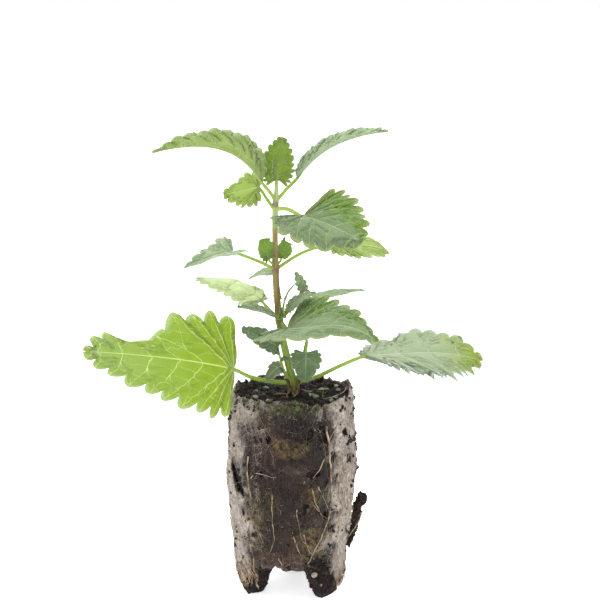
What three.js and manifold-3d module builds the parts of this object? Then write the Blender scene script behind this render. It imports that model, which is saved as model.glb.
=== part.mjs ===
// Potted catmint: a young plant rooted in a paper-sleeved plug of growing mix.
// Millimetres, +Z up. The origin is on the surface the plug stands on, under the plug's axis.
// The front is towards -Y.

import * as THREE from 'three';
import { mergeVertices } from 'three/addons/utils/BufferGeometryUtils.js';
import Module from 'manifold-3d';

const wasm = await Module();
wasm.setup();

// Plug and sleeve. The foot's middle lies to the left of the rim's, by footShift
const rimRadius = 20;
const bellyRadius = 21.1;
const footRadius = 17.6;
const footShift = 1.2;
const bellyHeight = 42;
const rimHeight = 67.8;
const soilHeight = 66;
const hemHeight = 11.5;
const sleeveWall = 1;
const fitGap = 0.3;
const plugSides = 36;

// Soil: how far the underside dips under each lobe before the floor cuts it flat, and the hole
// that the stem stands in
const lobeDepth = 8;
const stemHole = { radius: 1.9, from: [0.9, 0, 57], to: [0.6, 0, 70] };

// Lobes of soil that hang below the sleeve, which the plug stands on
const lobes = [
  { angle: -46, reach: 14.6, spread: 9, hemDrop: 6 },
  { angle: 207, reach: 13.4, spread: 7.6, hemDrop: 8 },
  { angle: 82, reach: 13.6, spread: 8, hemDrop: 7 },
];

// Torn holes in the sleeve: angle and height of the middle, half width, half height, lean
const tears = [
  { angle: 214, height: 40, halfWidth: 1.6, halfHeight: 5, lean: 28 },
  { angle: -75, height: 57.5, halfWidth: 1.5, halfHeight: 3.2, lean: -14 },
  { angle: -65, height: 58, halfWidth: 1, halfHeight: 2, lean: 10 },
  { angle: 55, height: 48, halfWidth: 1.8, halfHeight: 4, lean: 15 },
  { angle: 145, height: 26, halfWidth: 1.5, halfHeight: 3.2, lean: -20 },
];

// Stem: x and height of its middle line, and radius
const stemLine = [
  [0.9, 57.5, 1.3], [0.65, 66.5, 1.35], [0.1, 71, 1.25], [-0.9, 74.5, 1.2], [-2.4, 81, 1.2],
  [-3.2, 84.5, 1.15], [-4.3, 91, 1.15], [-4.9, 97, 1.05], [-5.5, 107.5, 1.05], [-5.6, 117.5, 0.9],
  [-5.5, 128, 0.95], [-5.2, 131, 0.8], [-5.1, 136, 0.65],
];

// Roots that run over the sleeve: angle and height of each point, from the top down
const rootRadius = 0.42;
const roots = [
  {
    name: 'root_long',
    path: [[-59, 60.5], [-56, 54], [-54, 45.5], [-51, 38.5], [-54, 28.5], [-63, 20.5], [-74, 14]],
  },
  { name: 'root_right_fork', path: [[-61, 49.5], [-66, 46.5], [-72, 43.8]] },
  { name: 'root_right_low', path: [[-73, 40.5], [-68, 34.6], [-60, 28.8]] },
  { name: 'root_left', path: [[-130, 50], [-131, 44], [-126, 36.5]] },
  { name: 'root_left_loop', path: [[-139, 22.5], [-131, 19.6], [-122, 18.4], [-118, 21.4]] },
  { name: 'root_side', path: [[-45, 44], [-41, 34], [-40, 24], [-43, 13]] },
  { name: 'root_back', path: [[118, 56], [112, 44], [104, 34], [108, 20]] },
  { name: 'root_back_low', path: [[70, 44], [62, 30], [66, 18]] },
];

// Clump of soil that has grown out of the sleeve: angle, height and half thickness
const clumpLine = [[0, 13.5, 1], [3, 17, 1.4], [6, 21, 1.5], [9, 25, 1.7], [11, 28, 1.9], [11.5, 30.4, 1.1]];

// Leaves
const bladeThickness = 0.6;
const stalkRadius = 0.75;
const keelShare = 0.8;
const toothLean = 1.35;
const toothBase = 0.4;
const ribSlope = 0.62;

// Closed meshes built point by point

class Facets {
  constructor() {
    this.points = [];
    this.faces = [];
  }

  point(v) {
    this.points.push(v.x, v.y, v.z);
    return this.points.length / 3 - 1;
  }

  triangle(a, b, c) {
    if (a !== b && b !== c && c !== a) this.faces.push(a, b, c);
  }

  quad(a, b, c, d) {
    this.triangle(a, b, c);
    this.triangle(a, c, d);
  }

  solid() {
    return new wasm.Manifold(new wasm.Mesh({
      numProp: 3,
      vertProperties: new Float32Array(this.points),
      triVerts: new Uint32Array(this.faces),
    }));
  }
}

// Corners closer than this become one, so a join leaves no slivers
const weldDistance = 0.005;

function toGeometry(solid) {
  const mesh = solid.getMesh();
  const cut = new THREE.BufferGeometry();
  cut.setAttribute('position', new THREE.BufferAttribute(new Float32Array(mesh.vertProperties), 3));
  cut.setIndex(new THREE.BufferAttribute(new Uint32Array(mesh.triVerts), 1));
  const geometry = mergeVertices(cut, weldDistance);
  const corners = Array.from(geometry.index.array);
  const kept = [];
  for (let i = 0; i < corners.length; i += 3) {
    const [a, b, c] = corners.slice(i, i + 3);
    if (a !== b && b !== c && c !== a) kept.push(a, b, c);
  }
  geometry.setIndex(kept);
  geometry.computeVertexNormals();
  return geometry;
}

function ringIds(facets, ring) {
  return ring.map((v) => facets.point(v));
}

function joinRings(facets, lower, upper) {
  const sides = lower.length;
  for (let i = 0; i < sides; i += 1) {
    const next = (i + 1) % sides;
    facets.quad(lower[i], lower[next], upper[next], upper[i]);
  }
}

function ringMiddle(ring) {
  const middle = new THREE.Vector3();
  for (const v of ring) middle.add(v);
  return middle.divideScalar(ring.length);
}

// Rings run anticlockwise as seen from the last ring, and both ends are closed
function ringSolid(rings) {
  const facets = new Facets();
  const ids = rings.map((ring) => ringIds(facets, ring));
  for (let k = 0; k + 1 < ids.length; k += 1) joinRings(facets, ids[k], ids[k + 1]);
  const first = facets.point(ringMiddle(rings[0]));
  const last = facets.point(ringMiddle(rings[rings.length - 1]));
  const sides = rings[0].length;
  for (let i = 0; i < sides; i += 1) {
    const next = (i + 1) % sides;
    facets.triangle(first, ids[0][next], ids[0][i]);
    facets.triangle(last, ids[ids.length - 1][i], ids[ids.length - 1][next]);
  }
  return facets.solid();
}

// Rings that close on themselves, as the two walls of a sleeve do
function sleeveSolid(rings) {
  const facets = new Facets();
  const ids = rings.map((ring) => ringIds(facets, ring));
  ids.forEach((ring, k) => joinRings(facets, ring, ids[(k + 1) % ids.length]));
  return facets.solid();
}

// A tapered tube through points, with a radius at each point. Squareness gives four soft corners
function tube(points, radii, sides = 6, steps = 10, squareness = 0) {
  const curve = new THREE.CatmullRomCurve3(points, false, 'centripetal');
  const side = new THREE.Vector3();
  const rings = [];
  let across = new THREE.Vector3(0, 1, 0);
  for (let k = 0; k <= steps; k += 1) {
    const t = k / steps;
    const centre = curve.getPoint(t);
    const along = curve.getTangent(t);
    if (k === 0 && Math.abs(along.y) > 0.8) across = new THREE.Vector3(1, 0, 0);
    side.crossVectors(along, across).normalize();
    across = new THREE.Vector3().crossVectors(side, along).normalize();
    const place = t * (radii.length - 1);
    const low = Math.min(Math.floor(place), radii.length - 2);
    const radius = THREE.MathUtils.lerp(radii[low], radii[low + 1], place - low);
    const ring = [];
    for (let i = 0; i < sides; i += 1) {
      const turn = (2 * Math.PI * i) / sides;
      const r = radius * (1 + squareness * Math.cos(4 * turn));
      ring.push(centre.clone()
        .addScaledVector(across, r * Math.cos(turn))
        .addScaledVector(side, r * Math.sin(turn)));
    }
    rings.push(ring);
  }
  return ringSolid(rings);
}

// Plug

function polar(angle, radius, height) {
  return new THREE.Vector3(radius * Math.cos(angle), radius * Math.sin(angle), height);
}

function smooth(t) {
  const c = THREE.MathUtils.clamp(t, 0, 1);
  return c * c * (3 - 2 * c);
}

function angleBetween(a, b) {
  return Math.atan2(Math.sin(a - b), Math.cos(a - b));
}

function sleeveRadius(angle, height) {
  const up = smooth((height - bellyHeight) / (rimHeight - bellyHeight));
  const down = smooth((bellyHeight - height) / bellyHeight);
  const plain = bellyRadius + (rimRadius - bellyRadius) * up + (footRadius - bellyRadius) * down;
  const lumps = 0.3 * Math.sin(3 * angle + 0.06 * height) + 0.22 * Math.sin(5 * angle - 0.11 * height + 1);
  const lean = footShift * (1 - height / rimHeight) * Math.cos(angle);
  return plain + lumps - lean;
}

function rimLine(angle) {
  return rimHeight + 0.7 * Math.sin(3 * angle + 0.8) + 0.5 * Math.sin(7 * angle);
}

function hemLine(angle) {
  let hem = hemHeight + 0.7 * Math.sin(6 * angle + 1);
  for (const lobe of lobes) {
    const away = Math.abs(angleBetween(angle, THREE.MathUtils.degToRad(lobe.angle))) * lobe.reach;
    hem -= lobe.hemDrop * (1 - smooth(away / lobe.spread));
  }
  return hem;
}

// Underside of the soil: level with the hem, with lobes that end in flat feet at the floor
function soilUnderside(x, y) {
  let height = hemHeight + 1;
  for (const lobe of lobes) {
    const angle = THREE.MathUtils.degToRad(lobe.angle);
    const away = Math.hypot(x - lobe.reach * Math.cos(angle), y - lobe.reach * Math.sin(angle));
    height -= (hemHeight + lobeDepth) * (1 - smooth(away / lobe.spread));
  }
  return Math.max(0, height);
}

function soilSurface(x, y) {
  return soilHeight + 0.35 * Math.sin(0.9 * x + 1) * Math.cos(0.8 * y) + 0.3 * Math.sin(1.7 * y - 0.6 * x);
}

function circleOf(sides, pointAt) {
  return Array.from({ length: sides }, (_, i) => pointAt((2 * Math.PI * i) / sides));
}

function soilCore() {
  const wallAt = (angle, height) => sleeveRadius(angle, height) - sleeveWall - fitGap;
  const floorRing = (part) => circleOf(plugSides, (angle) => {
    const r = part * wallAt(angle, 4);
    const p = polar(angle, r, 0);
    p.z = soilUnderside(p.x, p.y);
    return p;
  });
  const wallRing = (part) => circleOf(plugSides, (angle) => {
    const foot = polar(angle, wallAt(angle, 4), 0);
    const low = soilUnderside(foot.x, foot.y) + 0.8;
    const height = THREE.MathUtils.lerp(low, soilHeight - 0.8, part);
    return polar(angle, wallAt(angle, height), height);
  });
  const topRing = (part) => circleOf(plugSides, (angle) => {
    const p = polar(angle, part * wallAt(angle, soilHeight), 0);
    p.z = soilSurface(p.x, p.y);
    return p;
  });
  const rings = [
    ...[0.2, 0.45, 0.62, 0.74, 0.84, 0.93].map(floorRing),
    ...[0, 0.12, 0.3, 0.5, 0.7, 0.86, 1].map(wallRing),
    ...[0.93, 0.7, 0.45, 0.2].map(topRing),
  ];
  const holeEnds = [new THREE.Vector3(...stemHole.from), new THREE.Vector3(...stemHole.to)];
  return ringSolid(rings).subtract(tube(holeEnds, [stemHole.radius, stemHole.radius], 12, 1));
}

function paperSleeve() {
  const wallRing = (inset, part) => circleOf(plugSides, (angle) => {
    const height = THREE.MathUtils.lerp(hemLine(angle), rimLine(angle), part);
    return polar(angle, sleeveRadius(angle, height) - inset, height);
  });
  const levels = [0, 0.1, 0.24, 0.4, 0.56, 0.72, 0.88, 1];
  const outer = levels.map((part) => wallRing(0, part));
  const inner = levels.map((part) => wallRing(sleeveWall, part)).reverse();
  let sleeve = sleeveSolid([...outer, ...inner]);
  for (const tear of tears) {
    const blob = new THREE.IcosahedronGeometry(1, 1);
    const angle = THREE.MathUtils.degToRad(tear.angle);
    blob.scale(3, tear.halfWidth, tear.halfHeight);
    blob.rotateX(THREE.MathUtils.degToRad(tear.lean));
    blob.rotateZ(angle);
    const middle = polar(angle, sleeveRadius(angle, tear.height), tear.height);
    blob.translate(middle.x, middle.y, middle.z);
    sleeve = sleeve.subtract(fromGeometry(blob));
  }
  return sleeve;
}

function onSleeve(angle, height, standOff) {
  const turn = THREE.MathUtils.degToRad(angle);
  return polar(turn, sleeveRadius(turn, height) + fitGap + standOff, height);
}

function surfaceRoot(path) {
  const points = path.map(([angle, height]) => onSleeve(angle, height, rootRadius));
  return tube(points, [rootRadius, rootRadius, rootRadius * 0.7], 5, 3 * (path.length - 1));
}

function soilClump() {
  const points = clumpLine.map(([angle, height, half]) => onSleeve(angle, height, half + 0.1));
  return tube(points, clumpLine.map(([, , half]) => half), 8, 10);
}

// A closed three.js geometry with its doubled corners joined, as a solid
function fromGeometry(geometry) {
  const position = geometry.getAttribute('position');
  const facets = new Facets();
  const seen = new Map();
  const ids = [];
  for (let i = 0; i < position.count; i += 1) {
    const v = new THREE.Vector3().fromBufferAttribute(position, i);
    const key = v.toArray().map((c) => Math.round(c * 1e4)).join();
    if (!seen.has(key)) seen.set(key, facets.point(v));
    ids.push(seen.get(key));
  }
  for (let i = 0; i < ids.length; i += 3) facets.triangle(ids[i], ids[i + 1], ids[i + 2]);
  return facets.solid();
}

// Stem

function stemSolid(extra = 0) {
  const points = stemLine.map(([x, z]) => new THREE.Vector3(x, 0, z));
  const radii = stemLine.map(([, , r]) => r + extra);
  return tube(points, radii, 8, 30, extra > 0 ? 0 : 0.06);
}

// Middle of the stem at a height
function stemAt(height) {
  const above = stemLine.findIndex(([, z]) => z >= height);
  const [x0, z0] = stemLine[Math.max(above - 1, 0)];
  const [x1, z1] = stemLine[above];
  return new THREE.Vector3(THREE.MathUtils.mapLinear(height, z0, z1, x0, x1), 0, height);
}

// Leaves

// Half of a leaf's outline, from the notch at its base (t = 0) to its tip (t = 1). The length is
// 1 along x and the widest place about 1 along y. Lobe is how far the base reaches back, hip how
// broad it is there, belly how broad its middle is, and fullness how blunt the tip is
function halfOutline(t, { lobe, hip, belly, fullness }) {
  const xs = [0, -2.4 * lobe, 0.12, 0.8, 1];
  const ys = [0, hip, belly, fullness, 0];
  const weights = [1, 4, 6, 4, 1].map((w, i) => w * t ** i * (1 - t) ** (4 - i));
  const blend = (values) => values.reduce((sum, v, i) => sum + v * weights[i], 0);
  return [blend(xs), blend(ys)];
}

// Rounded teeth that lean towards the tip: 0 in the notch, 1 on the crest
function toothShape(part) {
  return Math.sin(Math.PI * part ** toothLean) ** 0.75;
}

// Places along half of the outline: a few on each tooth, and half a tooth at the leaf's tip
function outlinePlaces({ teeth, samples }) {
  const places = [];
  for (let k = 0; k < teeth; k += 1) samples.forEach((part) => places.push({ tooth: k, part }));
  samples.slice(0, 2).forEach((part) => places.push({ tooth: teeth, part }));
  places.push({ tooth: teeth, part: 0.6 });
  return places;
}

// A leaf's shape in space. The midrib is a curve in the upright plane at the leaf's azimuth
function bladeMap(leaf) {
  const azimuth = THREE.MathUtils.degToRad(leaf.azimuth);
  const outward = new THREE.Vector3(Math.cos(azimuth), Math.sin(azimuth), 0);
  const level = new THREE.Vector3(-Math.sin(azimuth), Math.cos(azimuth), 0);
  const at = ([reach, height]) => leaf.from.clone()
    .addScaledVector(outward, reach)
    .add(new THREE.Vector3(0, 0, height));
  const midrib = new THREE.CubicBezierCurve3(...leaf.midrib.map(at));
  const centreAt = (s) => {
    const centre = midrib.getPoint(THREE.MathUtils.clamp(s, 0, 1));
    if (s < 0) centre.addScaledVector(midrib.v1.clone().sub(midrib.v0), 3 * s);
    return centre;
  };
  const frameAt = (s) => {
    const inside = THREE.MathUtils.clamp(s, 0, 1);
    const along = midrib.getTangent(inside);
    const roll = THREE.MathUtils.degToRad(leaf.roll + (leaf.twist ?? 0) * inside);
    const up = new THREE.Vector3().crossVectors(along, level);
    return {
      side: level.clone().multiplyScalar(Math.cos(roll)).addScaledVector(up, Math.sin(roll)),
      normal: level.clone().multiplyScalar(-Math.sin(roll)).addScaledVector(up, Math.cos(roll)),
    };
  };
  // The fold is how far both halves rise from the midrib
  const foldAt = (s) => {
    const inside = THREE.MathUtils.clamp(s, 0, 1);
    return THREE.MathUtils.degToRad((leaf.fold ?? 0) + (leaf.unfold ?? 0) * inside);
  };
  // x runs along the midrib from 0 to 1, y across from -1 to 1
  const surface = (x, y) => {
    const across = (y * leaf.width) / 2;
    const fold = foldAt(x);
    const { side, normal } = frameAt(x);
    return centreAt(x)
      .addScaledVector(side, across * Math.cos(fold))
      .addScaledVector(normal, Math.abs(across) * Math.sin(fold));
  };
  return { at, centreAt, frameAt, surface };
}

// The toothed edge of one half of the blade, as flat places (x, y). Teeth near the tip are narrower
function halfEdge(leaf) {
  const { teeth, tooth } = leaf;
  const ratio = leaf.width / 2 / leaf.length;
  const edge = outlinePlaces(leaf).map(({ tooth: k, part }) => {
    const t = 0.03 + 0.97 * ((k + part) / (teeth + 0.6)) ** 0.92;
    const [x, y] = halfOutline(t, leaf);
    const [xa, ya] = halfOutline(t - 0.01, leaf);
    const run = new THREE.Vector2(x - xa, (y - ya) * ratio).normalize();
    const push = (tooth / leaf.length) * (toothShape(part) - toothBase);
    return [x - run.y * push, Math.max(0.02, y + (run.x * push) / ratio)];
  });
  edge[edge.length - 1] = [1, 0];
  return edge;
}

// The blade between its two faces, which are split into triangles alike. Ribs run out from the
// midrib to the notches, and the underside has a keel along the midrib
function bladeSolid(leaf) {
  const map = bladeMap(leaf);
  const facets = new Facets();
  const half = bladeThickness / 2;
  const pair = ([x, y]) => {
    const middle = map.surface(x, y);
    const step = 0.02;
    const alongX = map.surface(x + step, y).sub(map.surface(x - step, y));
    const sign = y < 0 ? -1 : 1;
    const alongY = map.surface(x, y + sign * step).sub(middle).multiplyScalar(sign);
    const normal = alongX.cross(alongY).normalize();
    const keel = y === 0 ? leaf.stalk * keelShare * (1 - keelShare * x) : 0;
    if (y === 0) normal.copy(map.frameAt(x).normal);
    return {
      top: facets.point(middle.clone().addScaledVector(normal, half)),
      base: facets.point(middle.clone().addScaledVector(normal, -half - keel)),
    };
  };
  const edge = halfEdge(leaf);
  const notches = [];
  for (let k = 0; k <= leaf.teeth; k += 1) notches.push(k * leaf.samples.length);
  let last = 0;
  const ribStarts = notches.map((n) => {
    const [x, y] = edge[n];
    const start = x - (ribSlope * y * leaf.width) / 2 / leaf.length;
    last = Math.max(last + 0.125 / leaf.teeth, Math.min(start, 0.97));
    return last;
  });
  const root = pair([0, 0]);
  const tip = pair([1, 0]);
  const spine = ribStarts.map((x) => pair([x, 0]));
  for (const sign of [1, -1]) {
    const rim = edge.map(([x, y], i) => (i === edge.length - 1 ? tip : pair([x, sign * y])));
    const middle = notches.map((n, k) => {
      if (leaf.rows < 2) return spine[k];
      return pair([(ribStarts[k] + edge[n][0]) / 2 + 0.02, (sign * edge[n][1]) / 2]);
    });
    const both = (a, b, c) => {
      const [p, q] = sign > 0 ? [b, c] : [c, b];
      facets.triangle(a.top, p.top, q.top);
      facets.triangle(a.base, q.base, p.base);
    };
    // From the base to the first rib, between ribs, and from the last rib to the tip
    const stretch = (spineA, midA, spineB, midB, rimPart) => {
      if (midA !== spineA || midB !== spineB) {
        both(spineA, spineB, midB);
        both(spineA, midB, midA);
      }
      const turn = Math.ceil(rimPart.length / 2);
      for (let i = 0; i + 1 < turn; i += 1) both(midA, rimPart[i + 1], rimPart[i]);
      both(midA, midB, rimPart[turn - 1]);
      for (let i = turn - 1; i + 1 < rimPart.length; i += 1) both(midB, rimPart[i + 1], rimPart[i]);
    };
    both(root, spine[0], middle[0]);
    both(root, middle[0], rim[0]);
    for (let k = 0; k < leaf.teeth; k += 1) {
      stretch(spine[k], middle[k], spine[k + 1], middle[k + 1], rim.slice(notches[k], notches[k + 1] + 1));
    }
    const end = leaf.teeth;
    const lastRim = rim.slice(notches[end]);
    both(spine[end], tip, middle[end]);
    for (let i = 0; i + 1 < lastRim.length; i += 1) both(middle[end], lastRim[i + 1], lastRim[i]);
    const loop = [root, ...rim];
    for (let i = 0; i + 1 < loop.length; i += 1) {
      const [a, b] = sign > 0 ? [loop[i], loop[i + 1]] : [loop[i + 1], loop[i]];
      facets.quad(a.top, b.top, b.base, a.base);
    }
  }
  return facets.solid();
}

const leafDefaults = {
  teeth: 9, tooth: 2, samples: [0, 0.3, 0.68], rows: 2, lobe: 0.08, hip: 1.05, belly: 1.5,
  fullness: 0.8, stalk: stalkRadius,
};
const smallLeafDefaults = {
  teeth: 5, tooth: 0.9, samples: [0, 0.45], rows: 1, lobe: 0.08, hip: 0.9, belly: 1.5,
  fullness: 0.8, stalk: 0.35, via: [],
};

// A blade and its stalk as one solid. The stalk starts on the stem's middle line and ends in the
// blade's keel. A small leaf without via points sits straight on its shoot's stalk
function leafSolid(given, defaults = leafDefaults) {
  const leaf = { ...defaults, ...given };
  leaf.from = new THREE.Vector3(...leaf.from);
  if (!leaf.via.length) return bladeSolid(leaf);
  const map = bladeMap(leaf);
  const points = [leaf.from, ...leaf.via.map(map.at)];
  for (const s of [0, 0.05]) {
    points.push(map.centreAt(s).addScaledVector(map.frameAt(s).normal, -0.4 * leaf.stalk));
  }
  const radii = [leaf.stalk, leaf.stalk * 0.95, leaf.stalk * 0.85, leaf.stalk * 0.7];
  return bladeSolid(leaf).add(tube(points, radii, 6, 9));
}

// Main leaves, from the soil up. Reaches and heights are counted from where the stalk leaves the stem
const mainLeaves = [
  {
    name: 'leaf_base_left', from: stemAt(68.6), azimuth: 200, length: 50, width: 28, roll: -62,
    twist: 12, lobe: -0.05, hip: 1.8, belly: 1, fullness: 0.65, via: [[10.2, 1.2], [15.2, 3.2]],
    midrib: [[20.3, 7.7], [36.4, 12.6], [53, 15.5], [69.8, 17.8]],
  },
  {
    name: 'leaf_base_right', from: stemAt(68.6), azimuth: 21.5, length: 45, width: 23.5, roll: 2,
    twist: 42, lobe: -0.03, hip: 0.6, fullness: 1.3, via: [[9.3, 2.6], [18, 6]],
    midrib: [[25.3, 7.9], [40, 6.6], [56, 8.2], [70.2, 1.4]],
  },
  {
    name: 'leaf_first_front', from: stemAt(90.4), azimuth: -45, length: 41, width: 27, roll: 19,
    fold: 17, unfold: -20, lobe: 0.1, hip: 1.35, belly: 1.45, fullness: 0.2, via: [[1.5, -0.6]],
    midrib: [[3.6, -1.8], [16, 0.4], [31, 7.2], [43, 0.4]],
  },
  {
    name: 'leaf_first_back', from: stemAt(91), azimuth: 146, length: 28, width: 11, roll: -15,
    fold: -18, teeth: 8, tooth: 1.2, stalk: 0.55, lobe: 0, via: [[2.6, 2]],
    midrib: [[6.9, 5.6], [13.5, 10.4], [24, 11.6], [34.3, 9.8]],
  },
  {
    name: 'leaf_second_left', from: stemAt(107.8), azimuth: 210, length: 17, width: 12, roll: -12, fold: 20,
    teeth: 6, tooth: 1.3, stalk: 0.6, lobe: 0.1, via: [[7, 3.6]],
    midrib: [[15.4, 7.2], [20.5, 6.8], [27, 5.4], [33, 3.6]],
  },
  {
    name: 'leaf_second_right', from: stemAt(107.8), azimuth: 30, length: 22, width: 14, roll: 22,
    teeth: 7, tooth: 1.3, stalk: 0.6, via: [[10, 4.6]], midrib: [[20, 6.6], [27, 7], [35, 5.4], [42.5, 2.8]],
  },
  {
    name: 'leaf_third_front', from: stemAt(127.6), azimuth: -49, length: 28, width: 26, roll: 15,
    twist: 16, fold: 18, unfold: -30, lobe: 0.08, hip: 1.2, fullness: 0.85, via: [[6, 0.6]],
    midrib: [[13.6, -0.8], [22, -1.2], [31.6, -2.6], [41, -5.4]],
  },
  {
    name: 'leaf_third_back', from: stemAt(127), azimuth: 160, length: 13, width: 12.5, roll: -48, lobe: 0.08,
    teeth: 6, tooth: 1.6, stalk: 0.6, via: [[2.4, 3]], midrib: [[5.6, 7.2], [9, 6.4], [13, 5.8], [18, 4.2]],
  },
  {
    name: 'leaf_fourth_left', from: stemAt(130), azimuth: 206, length: 43, width: 14.2, roll: 0,
    fold: 38, unfold: -8, lobe: -0.08, teeth: 10, tooth: 1.6, stalk: 0.65, hip: 0.55, belly: 1.55,
    fullness: 1.1, via: [[2, 3]],
    midrib: [[4.6, 6.4], [12.5, 20], [26.5, 21], [42, 18]],
  },
  {
    name: 'leaf_fourth_right', from: stemAt(130), azimuth: 25, length: 39, width: 12, roll: 0, fold: 38,
    unfold: -16, lobe: -0.04, teeth: 10, tooth: 1.4, stalk: 0.65, hip: 0.8, fullness: 0.8, via: [[3.4, 3.4]],
    midrib: [[7.4, 7.3], [15, 17], [26, 20.2], [40.6, 20.9]],
  },
];

// Side shoots and the young leaves at the tip. Each stalk starts on the stem's middle line or on
// another stalk, and each leaf on a stalk
const shoots = [
  {
    name: 'shoot_base_left',
    stalks: [
      { path: [[0.3, 0, 69], [-2.8, -1.5, 74.3], [-3.8, -2, 78], [-5, -2.5, 83.3]], radii: [0.75, 0.5, 0.4] },
    ],
    leaves: [
      { from: [-4.75, -2.4, 82.7], azimuth: 192, length: 13, width: 9, roll: -38, teeth: 6,
        midrib: [[0, 0], [4, 2.8], [8, 4.8], [12, 6.4]] },
      { from: [-3.1, -1.5, 75.3], azimuth: 200, length: 7.5, width: 6, roll: -28,
        midrib: [[0.4, 0.4], [2, 1], [4, -0.8], [6, -4.2]] },
      { from: [-3.7, -1.9, 77.8], azimuth: -10, length: 3, width: 2.6, roll: 20, teeth: 3, tooth: 0.5,
        midrib: [[0, 0.4], [0.8, 1], [1.6, 1], [2.4, 0.4]] },
    ],
  },
  {
    name: 'shoot_base_right',
    stalks: [
      {
        path: [[0.4, 0, 69], [2.4, 1.5, 73], [3.6, 1.8, 79], [4.6, 1, 84], [4.7, -0.8, 83], [4.4, -1.6, 80]],
        radii: [0.85, 0.8, 0.45, 0.4, 0.4, 0.35],
      },
    ],
    leaves: [
      { from: [4.4, -1.5, 80.4], azimuth: -93, length: 9.5, width: 10.2, roll: 0, fold: -8, lobe: 0.12,
        midrib: [[0, 0], [1, -2.6], [2, -5.6], [2.8, -8.6]] },
    ],
  },
  {
    name: 'shoot_first_left',
    stalks: [{ path: [[-4.4, 0, 92], [-6, -1.6, 92.8], [-7.4, -2.2, 93.4]], radii: [0.6, 0.45, 0.35] }],
    leaves: [
      { from: [-7, -2.1, 93.2], azimuth: 188, length: 11, width: 7, roll: -8, fold: 12, teeth: 6,
        midrib: [[0, 0], [3.6, 1.8], [7.4, 2.6], [11, 2.8]] },
    ],
  },
  {
    name: 'shoot_first_right',
    stalks: [
      { path: [[-4.5, 0, 92.4], [-2, 1.4, 92.8], [-0.9, 2, 94.4]], radii: [0.6, 0.5, 0.35] },
      { path: [[-2.4, 1.2, 92.8], [0.6, 5.4, 95], [3.8, 7.2, 99.6]], radii: [0.45, 0.35, 0.35] },
      {
        path: [[-2.4, 1.2, 93.4], [-0.6, 5.4, 95.6], [3.4, 8.6, 96.6], [9.4, 10.2, 96]],
        radii: [0.45, 0.4, 0.35],
      },
      { path: [[-3.2, 0.8, 92.6], [-3, 1.8, 95], [-2.4, 2.4, 98]], radii: [0.5, 0.35, 0.3] },
    ],
    leaves: [
      { from: [-0.9, 2, 94], azimuth: 18, length: 10, width: 6, roll: 10, fold: 10, teeth: 6,
        midrib: [[0, 0], [2, 3], [5, 4.6], [9.2, 5.2]] },
      { from: [3.8, 7, 99.2], azimuth: 130, length: 7, width: 3.6, roll: -20, teeth: 4,
        midrib: [[0, 0], [1.2, 2], [2.6, 4], [4.4, 5.8]] },
      { from: [2.4, 6.5, 97.2], azimuth: 35, length: 5.4, width: 3, roll: -60, teeth: 4,
        midrib: [[0, 0], [0.9, 1.8], [1.5, 3.6], [1.8, 5.6]] },
      { from: [8.7, 9.95, 96.1], azimuth: 30, length: 18, width: 9, roll: 0, fold: 10, teeth: 7,
        midrib: [[0, 0], [6, 0.6], [12, 1.4], [18, 0.8]] },
      { from: [-2.4, 2.4, 97.6], azimuth: 36, length: 7.5, width: 3.6, roll: -30, teeth: 4,
        midrib: [[0, 0], [0.8, 2.4], [3, 4.2], [5.8, 5.2]] },
    ],
  },
  {
    name: 'shoot_first_back',
    stalks: [
      { path: [[-4.5, 0, 93], [-4.3, 2.6, 95.4], [-4.6, 6.6, 101], [-6.3, 10, 105]],
        radii: [0.5, 0.45, 0.4, 0.35] },
    ],
    leaves: [
      { from: [-6.3, 10, 104.9], azimuth: 150, length: 11, width: 6, roll: -20, fold: 10,
        midrib: [[0, 0], [3, 0], [6.4, -1], [9.6, -3.2]] },
      { from: [-4.4, 3.7, 97], azimuth: 150, length: 4.6, width: 2.4, roll: -60, teeth: 4, tooth: 0.5,
        midrib: [[0, 0], [0.8, 1], [1.2, 2.6], [1.4, 4.2]] },
    ],
  },
  {
    name: 'shoot_first_front',
    stalks: [{ path: [[-4.3, 0, 92], [-4.1, -1.6, 92.2], [-4, -2.2, 93]], radii: [0.6, 0.9, 0.6] }],
    leaves: [
      { from: [-4, -2, 92.4], azimuth: -60, length: 3.6, width: 2.8, roll: 30, teeth: 3, tooth: 0.5,
        midrib: [[0, 0], [0.3, 1], [0.5, 2.2], [0.4, 3.4]] },
      { from: [-3.8, -2, 92.4], azimuth: -30, length: 2.6, width: 2.2, roll: 20, teeth: 3, tooth: 0.4,
        midrib: [[0, 0], [0.8, 0.3], [1.4, 0.4], [2, 0.2]] },
    ],
  },
  {
    name: 'shoot_second_left',
    stalks: [{ path: [[-5.5, 0, 109.2], [-7, -1, 110.4], [-7.9, -1.4, 112.2]], radii: [0.5, 0.4, 0.35] }],
    leaves: [
      { from: [-7.9, -1.5, 112], azimuth: 200, length: 6.4, width: 4.4, roll: -90, fullness: 1.2,
        midrib: [[0, 0], [0.5, 2], [0.9, 4.2], [1, 6.4]] },
      { from: [-7.6, -1.1, 111.4], azimuth: 150, length: 6.6, width: 3.6, roll: -74,
        midrib: [[0, 0], [1.4, 1.6], [2.6, 3.4], [3.4, 5.8]] },
    ],
  },
  {
    name: 'shoot_second_right',
    stalks: [{ path: [[-5.5, 0, 109.2], [-4, 1, 110.2], [-3.4, 1.4, 111.8]], radii: [0.5, 0.4, 0.35] }],
    leaves: [
      { from: [-3.4, 1.3, 111.4], azimuth: 20, length: 5.6, width: 4.4, roll: 90, fullness: 1.2,
        midrib: [[0, 0], [0.5, 1.8], [1.2, 3.6], [1.9, 5.2]] },
      { from: [-3.4, 1.8, 111.6], azimuth: 70, length: 6.4, width: 3.4, roll: 60,
        midrib: [[0, 0], [0.8, 2], [1.6, 4.2], [2.4, 6.2]] },
    ],
  },
  {
    name: 'tip_leaves',
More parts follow.
